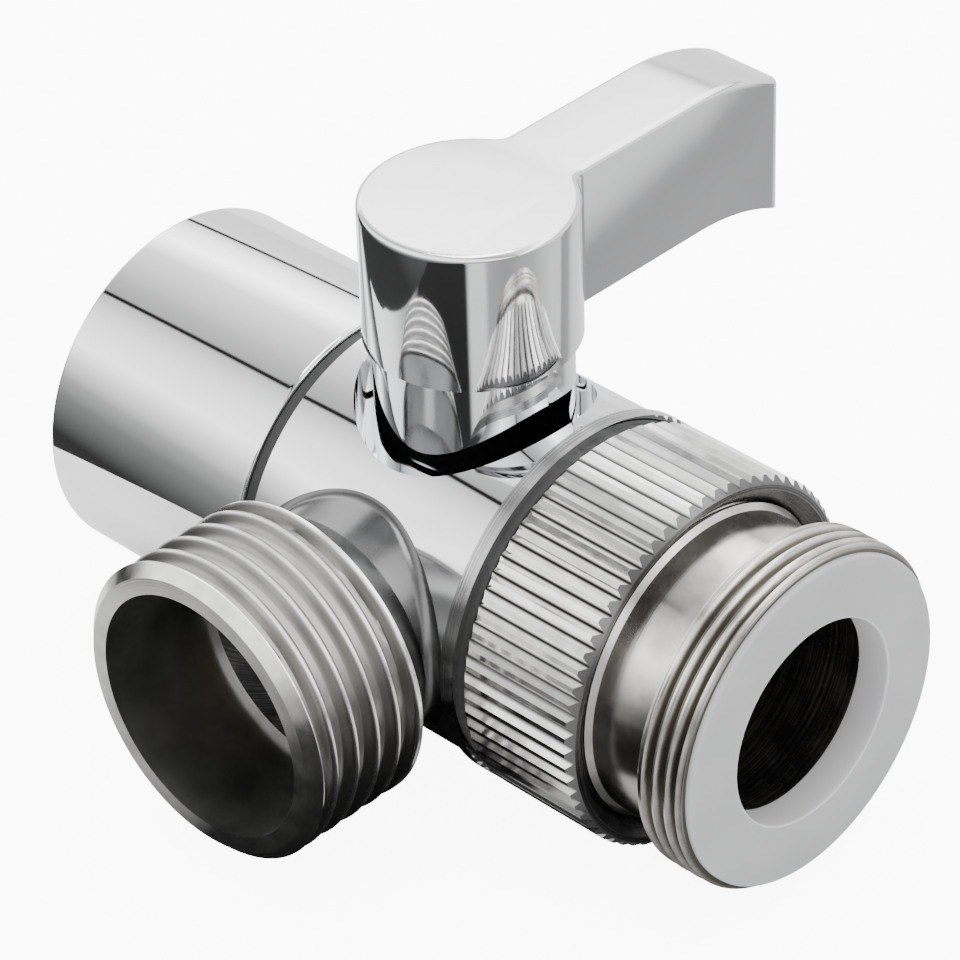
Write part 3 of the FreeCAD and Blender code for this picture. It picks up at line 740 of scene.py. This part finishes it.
@dataclass(frozen=True)
class Thread:
    """A screw thread along local +Z.

    Attributes:
        start: Where it starts along the axis, in metres.
        end: Where it ends.
        pitch: Distance between crests.
        crest: Crest radius.
        root: Root radius.
        flat: Radius of the plain ends that it runs out to.
        crest_share: Share of the pitch that the crest takes.
        root_share: Share of the pitch that the root takes.
        run_out: Length over which it runs out at both ends.
        rows_per_pitch: Rows of points in one pitch.
    """

    start: float
    end: float
    pitch: float
    crest: float
    root: float
    flat: float
    crest_share: float = 0.12
    root_share: float = 0.12
    run_out: float = 0.5 * MM
    rows_per_pitch: int = 14

    def form(self, phase: float) -> float:
        """Return the radius at a phase of the pitch.

        Args:
            phase: Pitches from a crest.

        Returns:
            The radius.
        """
        away = 2 * min(phase % 1.0, 1.0 - phase % 1.0)
        share = (away - self.crest_share) / (1.0 - self.root_share - self.crest_share)
        share = min(max(share, 0.0), 1.0)
        eased = share * share * (3 - 2 * share)
        return self.crest + (self.root - self.crest) * (share + eased) / 2

    def radius(self, level: float, phase: float) -> float:
        """Return the radius at a distance along the axis and a phase.

        Args:
            level: Distance along the axis.
            phase: Pitches from a crest.

        Returns:
            The radius, run out at both ends.
        """
        edge = min((level - self.start) / self.run_out, (self.end - level) / self.run_out, 1.0)
        return self.flat + (self.form(phase) - self.flat) * max(edge, 0.0)

    def grow(self, shape: BMesh, columns: int) -> None:
        """Add the thread's skin, in rows that follow the helix.

        Args:
            shape: The shape that it is added to.
            columns: Steps round the axis.
        """
        turns = math.ceil((self.end - self.start) / self.pitch) + 1
        grid = []
        for row in range(turns * self.rows_per_pitch + 1):
            line = []
            for column in range(columns + 1):
                share = column / columns
                phase = row / self.rows_per_pitch
                level = min(max(self.start + self.pitch * (phase - share), self.start), self.end)
                line.append(on_circle(shape, level, self.radius(level, phase), share))
            grid.append(line)
        for low, high in zip(grid, grid[1:]):
            for i in range(columns):
                corners = (low[i], low[i + 1], high[i + 1], high[i])
                levels = [point.co.z for point in corners]
                if max(levels) - min(levels) > TOUCH:
                    shape.faces.new(corners)


Profile = list[tuple[float, float] | Thread]


def on_circle(shape: BMesh, level: float, radius: float, share: float) -> BMVert:
    """Add a point at a radius and a share of the turn about local +Z.

    Args:
        shape: The shape that is being built.
        level: Distance along the axis.
        radius: Distance from the axis.
        share: Turn about the axis, from 0 to 1.

    Returns:
        The new point.
    """
    turn = 2 * math.pi * (share % 1.0)
    return shape.verts.new((radius * math.cos(turn), radius * math.sin(turn), level))


def corner(level: float, radius: float, size: float, along: int, outwards: int, steps: int = 5) -> Profile:
    """Return the points of a rounded corner of a turned piece.

    Args:
        level: Distance along the axis of the sharp corner.
        radius: Radius of the sharp corner.
        size: Radius of the rounding.
        along: 1 where the piece ends at that level, -1 where it starts.
        outwards: 1 for an outer corner, -1 for the mouth of a bore.
        steps: Number of steps in the rounding.

    Returns:
        The points from the end face round to the turned face.
    """
    points = []
    for step in range(steps + 1):
        turn = math.pi / 2 * step / steps
        back = size * (1 - math.cos(turn))
        out = size * (1 - math.sin(turn))
        points.append((level - along * back, radius - outwards * out))
    return points


class Workshop:
    """Makes turned, copied and cut meshes and seats them on bodies."""

    def __init__(self, frame: dict) -> None:
        """Keep the loaded frame.
        """
        self.nodes: dict[str, Object] = frame["nodes"]

    @staticmethod
    def stand(direction: Direction, origin: Triple) -> Matrix:
        """Return the matrix that carries local +Z onto an axis.

        Args:
            direction: The axis.
            origin: Where the axis starts, in metres.

        Returns:
            The matrix.
        """
        turn = Vector((0.0, 0.0, 1.0)).rotation_difference(Vector(direction.value))
        return Matrix.Translation(origin) @ turn.to_matrix().to_4x4()

    @staticmethod
    def finish_mesh(name: str, shape: BMesh, place: Matrix, sharp_deg: float) -> Object:
        """Turn a built shape into a shaded object.

        Args:
            name: Name of the piece.
            shape: The built shape, in local metres.
            place: Where it stands.
            sharp_deg: Edges steeper than this stay crisp.

        Returns:
            The object.
        """
        bmesh.ops.remove_doubles(shape, verts=shape.verts, dist=TOUCH)
        bmesh.ops.dissolve_degenerate(shape, edges=shape.edges, dist=TOUCH)
        bmesh.ops.delete(shape, geom=[v for v in shape.verts if not v.link_faces], context="VERTS")
        bmesh.ops.recalc_face_normals(shape, faces=shape.faces)
        open_edges = sum(not edge.is_manifold for edge in shape.edges)
        mesh = bpy.data.meshes.new(name)
        shape.to_mesh(mesh)
        shape.free()
        if "custom_normal" in mesh.attributes:
            mesh.attributes.remove(mesh.attributes["custom_normal"])
        mesh.transform(place)
        mesh.shade_smooth()
        mesh.set_sharp_from_angle(angle=math.radians(sharp_deg))
        piece = bpy.data.objects.new(name, mesh)
        bpy.context.scene.collection.objects.link(piece)
        LOG.info("%s: %d faces, %d open edges", name, len(mesh.polygons), open_edges)
        return piece

    def lathe(self, name: str, profile: Profile, direction: Direction = Direction.INLET,
              origin: Triple = (0.0, 0.0, 0.0), columns: int = 192,
              sharp_deg: float = 30.0) -> Object:
        """Turn a closed profile of points and threads about an axis.

        Args:
            name: Name of the piece.
            profile: Distances along the axis and radii, or threads.
            direction: The axis.
            origin: Where the axis starts, in metres.
            columns: Steps round the axis.
            sharp_deg: Edges steeper than this stay crisp.

        Returns:
            The object.
        """
        shape = bmesh.new()
        ends = []
        for item in profile:
            if isinstance(item, Thread):
                item.grow(shape, columns)
                ends += [((item.start, item.flat), False), ((item.end, item.flat), True)]
            else:
                ends.append((item, False))
        rings = [[on_circle(shape, *point, i / columns) for i in range(columns)] for point, _ in ends]
        skips = [skip for _, skip in ends]
        for low, high, skip in zip(rings, rings[1:] + rings[:1], skips[1:] + skips[:1]):
            if not skip:
                for i in range(columns):
                    after = (i + 1) % columns
                    shape.faces.new((low[i], low[after], high[after], high[i]))
        return self.finish_mesh(name, shape, self.stand(direction, origin), sharp_deg)

    def copied(self, name: str, node: str, sharp_deg: float = 30.0, rounding: float = 0.0,
               picked: Callable[[BMEdge], bool] | None = None) -> Object:
        """Copy a solid's mesh into a new piece.

        Args:
            name: Name of the piece.
            node: Name of the solid.
            sharp_deg: Edges steeper than this stay crisp.
            rounding: Size of the rounding of the picked edges.
            picked: Which edges are rounded.

        Returns:
            The object.
        """
        shape = bmesh.new()
        shape.from_mesh(self.nodes[node].data)
        if picked:
            bmesh.ops.remove_doubles(shape, verts=shape.verts, dist=TOUCH)
            shape.normal_update()
            edges = [edge for edge in shape.edges if picked(edge)]
            bmesh.ops.bevel(shape, geom=edges, offset=rounding, segments=3, profile=0.5, affect="EDGES",
                            clamp_overlap=True)
        return self.finish_mesh(name, shape, Matrix.Identity(4), sharp_deg)

    @staticmethod
    def carve(piece: Object, cutters: list[Object], sharp_deg: float = 30.0) -> None:
        """Cut the shapes of some objects out of a piece.

        Args:
            piece: The piece.
            cutters: Closed shapes, which are used up.
            sharp_deg: Edges steeper than this stay crisp.
        """
        for cutter in cutters:
            step = piece.modifiers.new(cutter.name, "BOOLEAN")
            step.operation = "DIFFERENCE"
            step.solver = "EXACT"
            step.object = cutter
        graph = bpy.context.evaluated_depsgraph_get()
        mesh = bpy.data.meshes.new_from_object(piece.evaluated_get(graph))
        piece.modifiers.clear()
        piece.data = mesh
        mesh.shade_smooth()
        mesh.set_sharp_from_angle(angle=math.radians(sharp_deg))
        for cutter in cutters:
            bpy.data.objects.remove(cutter)


@dataclass
class Finishes:
    """Every finish, made once.

    Attributes:
        effects: The shared groups.
        handle_x: Where the handle's axis crosses the valve's length.
        made: The materials by name.
    """

    effects: Effects
    handle_x: float
    made: dict[str, Material] = field(default_factory=dict)

    def __post_init__(self) -> None:
        """Make all the materials."""
        outlet = Direction.OUTLET
        kinds = (
            Metal("mirror_plating", (0.86, 0.87, 0.88), 0.03, 0.05, 60.0),
            Metal("hub_plating", (0.84, 0.85, 0.87), 0.035, 0.06, 60.0),
            # painted highlight: the lever's top is a lighter, hazier copy of the hub plating
            Metal("lit_lever_top_plating", (0.88, 0.89, 0.90), 0.15, 0.20, 60.0),
            # painted shade in the knurl's grooves
            Metal("knurl_plating", (0.90, 0.89, 0.87), 0.09, 0.16, 700.0, stain=0.8,
                  grooves=Grooves(12.44 * MM, 12.64 * MM, (0.07, 0.07, 0.07), 0.2)),
            Metal("turned_faces", (0.52, 0.51, 0.50), 0.16, 0.26, 500.0, 9000.0, 8e-6,
                  ring_shade=(0.28, 0.28, 0.28)),
            # painted shade: darkened nickel for the outlet bore's inner cone and the nut's end faces and
            # mouth
            Metal("shade_painted_nickel", (0.17, 0.17, 0.17), 0.2, 0.3, 500.0, 9000.0, 8e-6,
                  ring_shade=(0.07, 0.07, 0.07)),
            Metal("outlet_face", (0.72, 0.71, 0.69), 0.12, 0.2, 600.0, 6000.0, 2e-6, self.handle_x, outlet,
                  stain=0.75),
            # painted shade in the outlet thread's roots
            Metal("outlet_nickel", (0.97, 0.96, 0.95), 0.14, 0.26, 700.0, 5000.0, 3e-6, self.handle_x, outlet,
                  Grooves(10.24 * MM, 10.43 * MM, (0.27, 0.265, 0.255), 0.28), 0.8),
            # painted shade: the outlet's recessed neck is painted near black
            Metal("outlet_neck_shade", (0.15, 0.15, 0.15), 0.22, 0.3, 200.0, stain=0.8),
            Metal("bore_nickel", (0.34, 0.34, 0.335), 0.32, 0.38, 250.0, 9000.0, 2e-6, self.handle_x, outlet,
                  stain=0.8),
            # painted shade in the inlet thread's roots
            Metal("inlet_nickel", (0.86, 0.83, 0.78), 0.14, 0.26, 700.0, 5000.0, 2e-6, stain=0.7,
                  grooves=Grooves(11.5 * MM, 11.86 * MM, (0.16, 0.15, 0.13), 0.3)),
            Metal("neck_nickel", (0.84, 0.81, 0.77), 0.12, 0.26, 170.0, 5000.0, 3e-6, stain=0.4),
            Metal("inlet_bore", (0.42, 0.40, 0.38), 0.25, 0.35, 500.0, 4500.0, 8e-6,
                  ring_shade=(0.16, 0.15, 0.14)),
            Metal("turned_brass", (0.70, 0.55, 0.30), 0.2, 0.3, 400.0, 7000.0, 6e-6, self.handle_x,
                  Direction.UP),
            Metal("bare_steel", (0.55, 0.55, 0.55), 0.25, 0.4, 500.0),
            Polymer("milky_silicone", (0.40, 0.405, 0.415), 0.38, 0.5, 200.0, 4e-6, 0.3),
            # painted light: the washer's hole wall is a lighter copy of the milky silicone
            Polymer("lit_milky_hole", (0.55, 0.55, 0.56), 0.38, 0.5, 200.0, 4e-6, 0.3),
            Polymer("black_rubber", (0.02, 0.02, 0.02), 0.45, 0.65, 900.0, 1e-5),
            Polymer("white_plastic", (0.78, 0.78, 0.75), 0.35, 0.5, 400.0, 4e-6),
        )
        for kind in kinds:
            self.made[kind.name] = kind.make(self.effects)

    def __getitem__(self, name: str) -> Material:
        """Return a finish by name."""
        return self.made[name]


@dataclass
class Assembly:
    """A sub-assembly that is built in the workshop and dressed.

    Attributes:
        shop: The workshop.
        finishes: The finishes.
    """

    shop: Workshop
    finishes: Finishes

    def build(self) -> list[Object]:
        """Build and dress the pieces, and return them."""
        raise NotImplementedError

    def zone(self, centre: Vector, normal: Vector) -> str:
        """Name the finish of a face, where a piece has several."""
        raise NotImplementedError

    def dress(self, piece: Object, *names: str) -> None:
        """Give a piece its finishes, by zone where there are several.

        Args:
            piece: The object.
            *names: Names of its finishes.
        """
        piece.data.materials.clear()
        for name in names:
            piece.data.materials.append(self.finishes[name])
        if len(names) > 1:
            for face in piece.data.polygons:
                face.material_index = names.index(self.zone(face.center, face.normal))

    def ride(self, piece: Object, body: Body, slot: Slot, node: str, *names: str) -> list[Object]:
        """Dress a piece and let it ride in place of a solid.

        Args:
            piece: The object.
            body: Its body.
            slot: Its material slot in the record; not used.
            node: Name of the solid.
            *names: Names of its finishes.

        Returns:
            The piece, in a list.
        """
        self.dress(piece, *names)
        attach(piece, body.value)
        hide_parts(node)
        return [piece]


@dataclass
class ValveCasting(Assembly):
    """Cast body with its cut outlet thread and rear thread.

    Attributes:
        outlet_end: Distance of the outlet's face from the handle's axis.
        outlet_thread: Length of the outlet's thread.
        outlet_crest: Radius of the outlet's crests.
        outlet_root: Radius of the outlet's roots.
        outlet_pitch: Pitch of the outlet's thread.
        outlet_crest_share: Share of the pitch that the crest takes.
        outlet_root_share: Share of the pitch that the root takes.
        outlet_gap: Length left plain at the outlet's shoulder.
        outlet_clear: How far the cutter stands off the outlet's crests.
        rear_crest: Radius of the rear spigot's crests.
        rear_root: Radius of the rear spigot's roots.
        rear_pitch: Pitch of the rear thread.
        rear_start: Where the rear thread starts, from the spigot's end.
        rear_stop: Where it stops.
        rear_clear: How far the cutter stands off the rear crests.
        cutter: Outer radius of the cutters.
        bore: Radius that parts the outlet's bore from its thread.
        cone_start: Where the outlet's bore widens into its cone.
        chamfer: Length of the outlet's polished chamfer.
        ledge: Where the outlet's ledge is, painted bright as a highlight.
        main_bore: Radius within which the passages are.
        flange: Thickness of the flange before the nut.
        flange_root: Radius that parts the flange from the barrel.
        barrel: Radius just beyond the barrel.
        neck: Radius of the outlet's neck.
        shoulder_slack: How far before its shoulder the thread's finish starts.
        front_slack: How far past the slip ring the front spigot starts.
        ledge_slack: Half the length in which a face counts as the ledge.
        front: Where the slip ring starts.
        rear: Where the ring seal starts.
    """

    outlet_end: float = 25.3 * MM
    outlet_thread: float = 9.4 * MM
    outlet_crest: float = 10.44 * MM
    outlet_root: float = 9.65 * MM
    outlet_pitch: float = 1.814 * MM
    outlet_crest_share: float = 0.05
    outlet_root_share: float = 0.3
    outlet_gap: float = 0.15 * MM
    outlet_clear: float = 0.05 * MM
    rear_crest: float = 10.88 * MM
    rear_root: float = 10.35 * MM
    rear_pitch: float = 1.0 * MM
    rear_start: float = 0.35 * MM
    rear_stop: float = 5.3 * MM
    rear_clear: float = 0.06 * MM
    cutter: float = 12.0 * MM
    bore: float = 8.65 * MM
    cone_start: float = 10.5 * MM
    chamfer: float = 0.75 * MM
    ledge: float = 16.5 * MM
    main_bore: float = 6.7 * MM
    flange: float = 1.1 * MM
    flange_root: float = 12.52 * MM
    barrel: float = 12.501 * MM
    neck: float = 8.05 * MM
    shoulder_slack: float = 0.05 * MM
    front_slack: float = 0.3 * MM
    ledge_slack: float = 0.02 * MM
    front: float = field(default_factory=lambda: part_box("slip_ring")[0].x)
    rear: float = field(default_factory=lambda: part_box("ring_seal")[0].x)

    def build(self) -> list[Object]:
        """Build the casting: plated outside, satin threads, dark bores, with painted shade deep in the
        outlet's bore and on its neck and a painted highlight on its ledge.

        Returns:
            The pieces.
        """
        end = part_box("valve_body")[0].x
        shoulder = self.outlet_end - self.outlet_thread
        outlet = Thread(shoulder + self.outlet_gap, self.outlet_end - self.chamfer, self.outlet_pitch,
                        self.outlet_crest, self.outlet_root, self.outlet_crest + self.outlet_clear,
                        self.outlet_crest_share, self.outlet_root_share)
        rear = Thread(end + self.rear_start, end + self.rear_stop, self.rear_pitch, self.rear_crest,
                      self.rear_root, self.rear_crest + self.rear_clear)
        casting = self.shop.copied("valve_casting", "valve_body")
        self.shop.carve(casting, [
            self._cutter("outlet_thread_cutter", outlet, Direction.OUTLET, self.finishes.handle_x),
            self._cutter("rear_thread_cutter", rear, Direction.INLET, 0.0),
        ])
        return self.ride(casting, Body.VALVE, Slot.CHROME, "valve_body", "mirror_plating", "outlet_nickel",
                         "bore_nickel", "neck_nickel", "outlet_face", "turned_faces", "outlet_neck_shade",
                         "shade_painted_nickel")

    def _cutter(self, name: str, thread: Thread, direction: Direction, x: float) -> Object:
        """Build a ring whose inside is a thread.

        Args:
            name: Name of the ring.
            thread: Its thread.
            direction: Its axis.
            x: Where its axis starts along the valve.

        Returns:
            The ring.
        """
        profile = [thread, (thread.end, self.cutter), (thread.start, self.cutter)]
        return self.shop.lathe(name, profile, direction, (x, 0.0, 0.0))

    def zone(self, centre: Vector, normal: Vector) -> str:
        """Name the finish of a face.

        Args:
            centre: The face's centre.
            normal: The way the face looks.

        Returns:
            The finish's name.
        """
        level = -centre.y
        sideways = centre.x - self.finishes.handle_x
        from_outlet = math.hypot(sideways, centre.z)
        from_axis = math.hypot(centre.y, centre.z)
        outwards = sideways * normal.x + centre.z * normal.z > TOUCH
        if level > self.outlet_end - self.outlet_thread - self.shoulder_slack and from_outlet > self.bore:
            return "outlet_face" if level > self.outlet_end - self.chamfer else "outlet_nickel"
        if level > self.cone_start and from_outlet < self.bore and not outwards:
            # painted highlight: the ledge gets the brighter outlet_face finish
            if abs(level - self.ledge) < self.ledge_slack:
                return "outlet_face"
            # painted shade deeper in the outlet's bore, before the ledge
            return "bore_nickel" if level > self.ledge else "shade_painted_nickel"
        if from_axis < self.main_bore:
            return "bore_nickel"
        if centre.x > self.front + self.front_slack or centre.x < self.rear:
            return "neck_nickel"
        if centre.x > self.front - self.flange and from_axis > self.flange_root:
            return "turned_faces"
        beyond_barrel = from_axis > self.barrel and from_outlet < self.outlet_crest
        on_neck = outwards and (from_outlet < self.neck or beyond_barrel)
        # painted shade on the outward faces of the outlet's neck
        return "outlet_neck_shade" if level > self.neck and on_neck else "mirror_plating"


@dataclass
class LeverHandle(Assembly):
    """Hub and lever: softened lower edges and a hazier top, painted a little lighter than the hub as a
    highlight.

    Attributes:
        edge: Rounding of the lower outer edges.
        recess: Radius round the axis that keeps its crisp edges.
        level_share: How far up a face has to look to count as the top.
        under_share: How far down a face has to look to be the underside.
        upright_share: How little a face may look up or down to be a side.
    """

    edge: float = 0.22 * MM
    recess: float = 6.2 * MM
    level_share: float = 0.75
    under_share: float = 0.7
    upright_share: float = 0.3

    def build(self) -> list[Object]:
        """Build the handle.

        Returns:
            The pieces.
        """
        handle = self.shop.copied("lever_handle", "handle", rounding=self.edge, picked=self._is_lower_edge)
        return self.ride(handle, Body.LEVER, Slot.HANDLE_CHROME, "handle", "hub_plating", "lit_lever_top_plating")

    def zone(self, centre: Vector, normal: Vector) -> str:
        """Name the finish of a face, by the way it looks."""
        # painted highlight: upward faces get the lighter top finish
        return "lit_lever_top_plating" if normal.z > self.level_share else "hub_plating"

    def _is_lower_edge(self, edge: BMEdge) -> bool:
        """Tell whether an edge is on the lower outline.

        Args:
            edge: The edge.

        Returns:
            Whether the edge joins a side to the underside, away from the axis.
        """
        if len(edge.link_faces) != 2:
            return False
        looks = sorted(face.normal.z for face in edge.link_faces)
        middle = (edge.verts[0].co + edge.verts[1].co) / 2
        away = math.hypot(middle.x - self.finishes.handle_x, middle.y) > self.recess
        return away and looks[0] < -self.under_share and abs(looks[1]) < self.upright_share


@dataclass
class InletAdapter(Assembly):
    """Inlet thread adapter, turned from nickel-plated brass.

    Attributes:
        crest: Radius of the inlet thread's crests.
        root: Radius of the inlet thread's roots.
        pitch: Pitch of both threads.
        thread_length: Length of the inlet thread.
        thread_gap: Length left plain behind the inlet thread.
        run_out: Length over which the inlet thread runs out.
        clear: How far the inlet thread's plain ends stay below its crests.
        bevel_length: Length of the bevel behind the inlet thread.
        bevel_depth: Depth of that bevel.
        rim: Radius of the rim.
        rim_edge: Rounding of the rim.
        neck: Radius of the neck.
        tail_crest: Radius of the tail thread's crests.
        tail_root: Radius of the tail thread's roots.
        tail_front: Where the tail thread ends.
        tail_bevel: Bevels at the tail thread's ends.
        seat: Radius of the washer's seat.
        seat_depth: Depth of the washer's seat.
        bore: Radius of the bore.
        bore_slack: How far beyond the bore its finish reaches.
        neck_slack: How far before the thread the neck's finish ends.
        columns: Steps round the axis.
    """

    crest: float = 11.9 * MM
    root: float = 11.33 * MM
    pitch: float = 1.0 * MM
    thread_length: float = 4.0 * MM
    thread_gap: float = 0.5 * MM
    run_out: float = 0.35 * MM
    clear: float = 0.05 * MM
    bevel_length: float = 0.35 * MM
    bevel_depth: float = 0.25 * MM
    rim: float = 11.6 * MM
    rim_edge: float = 0.15 * MM
    neck: float = 10.5 * MM
    tail_crest: float = 10.9 * MM
    tail_root: float = 10.4 * MM
    tail_front: float = -8.8 * MM
    tail_bevel: float = 0.3 * MM
    seat: float = 9.6 * MM
    seat_depth: float = 1.9 * MM
    bore: float = 8.0 * MM
    bore_slack: float = 0.1 * MM
    neck_slack: float = 0.2 * MM
    columns: int = 224

    def build(self) -> list[Object]:
        """Build the adapter: satin thread, smoother neck, dark bore.

        Returns:
            The pieces.
        """
        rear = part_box("thread_adapter")[0].x
        start = -self.thread_length
        profile: Profile = [
            (rear, self.bore),
            (rear, self.tail_crest - self.tail_bevel),
            Thread(rear + self.tail_bevel, self.tail_front, self.pitch, self.tail_crest, self.tail_root,
                   self.tail_crest),
            (self.tail_front + self.tail_bevel, self.neck),
            (start, self.neck),
            (start + self.bevel_length, self.crest - self.bevel_depth),
            Thread(start + self.thread_gap, -self.run_out, self.pitch, self.crest, self.root,
                   self.crest - self.clear, run_out=self.run_out),
            *reversed(corner(0.0, self.rim, self.rim_edge, 1, 1)),
            (0.0, self.seat),
            (-self.seat_depth, self.seat),
            (-self.seat_depth, self.bore),
        ]
        adapter = self.shop.lathe("inlet_adapter", profile, columns=self.columns)
        return self.ride(adapter, Body.ADAPTER, Slot.NICKEL, "thread_adapter", "inlet_nickel", "neck_nickel",
                         "inlet_bore")

    def zone(self, centre: Vector, normal: Vector) -> str:
        """Name the finish of a face.

        Args:
            centre: The face's centre.
            normal: The way the face looks.

        Returns:
            The finish's name.
        """
        if math.hypot(centre.y, centre.z) < self.bore + self.bore_slack:
            return "inlet_bore"
        return "inlet_nickel" if centre.x > -self.thread_length + self.neck_slack else "neck_nickel"


@dataclass
class SwivelNut(Assembly):
    """Knurled nut whose end faces and mouth are painted darker, as shade.

    Attributes:
        crisp_deg: Edges steeper than this stay crisp.
        face: Radius that parts the end faces from the teeth.
        end_share: How far along the axis a face has to look to be an end.
    """

    crisp_deg: float = 12.0
    face: float = 12.3 * MM
    end_share: float = 0.3

    def build(self) -> list[Object]:
        """Build the nut.

        Returns:
            The pieces.
        """
        nut = self.shop.copied("knurled_nut", "swivel_nut", self.crisp_deg)
        return self.ride(nut, Body.NUT, Slot.NUT_CHROME, "swivel_nut", "knurl_plating", "shade_painted_nickel")

    def zone(self, centre: Vector, normal: Vector) -> str:
        """Name the finish of a face, by its distance from the axis and its look."""
        toothed = math.hypot(centre.y, centre.z) > self.face and abs(normal.x) < self.end_share
        # painted shade on the nut's end faces and mouth
        return "knurl_plating" if toothed else "shade_painted_nickel"


@dataclass
class SmoothHousing(Assembly):
    """Smooth cylinder at the aerator end.

    Attributes:
        radius: Outer radius.
        thread_bore: Radius of its thread's crests.
        mouth_flare: How much wider the threaded mouth is.
        mouth_edge: Rounding of the threaded mouth.
        seat: Radius of the insert's seat.
        lip: Radius of the lip's bore.
        lip_length: Length of the lip.
        edge: Rounding of its outer edges.
        columns: Steps round the axis.
    """

    radius: float = 12.3 * MM
    thread_bore: float = 10.95 * MM
    mouth_flare: float = 0.1 * MM
    mouth_edge: float = 0.2 * MM
    seat: float = 10.5 * MM
    lip: float = 9.4 * MM
    lip_length: float = 1.0 * MM
    edge: float = 0.3 * MM
    columns: int = 320

    def build(self) -> list[Object]:
        """Build the cylinder.

        Returns:
            The pieces.
        """
        low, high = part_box("aerator_housing")
        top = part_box("aerator_gasket")[0].x
        profile: Profile = [
            *corner(low.x, self.radius, self.edge, -1, 1),
            *reversed(corner(high.x, self.radius, self.edge, 1, 1)),
            *corner(high.x, self.thread_bore + self.mouth_flare, self.mouth_edge, 1, -1),
            (top, self.thread_bore),
            (top, self.seat),
            (low.x + self.lip_length, self.seat),
            (low.x + self.lip_length, self.lip),
            *reversed(corner(low.x, self.lip, self.edge, -1, -1)),
        ]
        housing = self.shop.lathe("smooth_housing", profile, columns=self.columns)
        return self.ride(housing, Body.HOUSING, Slot.CHROME, "aerator_housing", "mirror_plating")


@dataclass
class FaceWasher(Assembly):
    """Milky stepped washer in the inlet end.

    Attributes:
        radius: Outer radius.
        plug: Radius of the stepped part.
        hole: Radius of the hole.
        edge: Rounding of the outer edge.
        hole_edge: Rounding of the hole's edge.
        columns: Steps round the axis.
    """

    radius: float = 11.35 * MM
    plug: float = 9.55 * MM
    hole: float = 7.1 * MM
    edge: float = 0.22 * MM
    hole_edge: float = 0.12 * MM
    columns: int = 160

    def build(self) -> list[Object]:
        """Build the washer.

        Returns:
            The pieces.
        """
        low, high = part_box("face_washer")
        profile: Profile = [
            (low.x, self.hole),
            (low.x, self.plug),
            (0.0, self.plug),
            (0.0, self.radius),
            *reversed(corner(high.x, self.radius, self.edge, 1, 1)),
            *corner(high.x, self.hole, self.hole_edge, 1, -1),
        ]
        washer = self.shop.lathe("milky_washer", profile, columns=self.columns)
        return self.ride(washer, Body.WASHER, Slot.MILKY_SILICONE, "face_washer", "milky_silicone",
                         "lit_milky_hole")

    def zone(self, centre: Vector, normal: Vector) -> str:
        """Name the finish of a face, by its distance from the axis."""
        # painted light: the hole's wall gets the lighter copy
        in_hole = math.hypot(centre.y, centre.z) < self.hole + self.hole_edge
        return "lit_milky_hole" if in_hole else "milky_silicone"


@dataclass
class CarriedOver(Assembly):
    """Solids that stay as they are and only get a finish.

    Attributes:
        finishes_of: Names of the solids and of their finishes.
    """

    finishes_of: dict[str, str] = field(default_factory=lambda: {
        "port_liner": "white_plastic",
        "diverter_plug": "turned_brass",
        "stem_ring_lower": "black_rubber",
        "stem_ring_upper": "black_rubber",
        "thrust_washer": "white_plastic",
        "bonnet_nut": "hub_plating",
        "handle_screw": "bare_steel",
        "slip_ring": "black_rubber",
        "snap_ring": "bare_steel",
        "adapter_gasket": "black_rubber",
        "ring_seal": "black_rubber",
        "aerator_gasket": "black_rubber",
        "aerator_cup": "white_plastic",
        "aerator_screen": "bare_steel",
        "aerator_diffuser": "white_plastic",
        "aerator_honeycomb": "white_plastic",
    })

    def build(self) -> list[Object]:
        """Dress the solids.

        Returns:
            The pieces.
        """
        for node, finish in self.finishes_of.items():
            self.dress(self.shop.nodes[node], finish)
        return [self.shop.nodes[node] for node in self.finishes_of]


def main() -> None:
    """Load the frame, then build and dress every sub-assembly in order."""
    logging.basicConfig(level=logging.INFO, format="%(name)s: %(message)s")
    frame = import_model()
    shop = Workshop(frame)
    low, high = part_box("diverter_plug")
    finishes = Finishes(Effects(), (low.x + high.x) / 2)
    kinds = (ValveCasting, LeverHandle, InletAdapter, SwivelNut, SmoothHousing, FaceWasher, CarriedOver)
    for kind in kinds:
        for piece in kind(shop, finishes).build():
            LOG.info("%s: %s", kind.__name__, piece.name)
    Studio().build(finishes.handle_x)
    PhotoCamera().build()


if __name__ == "__main__":
    main()
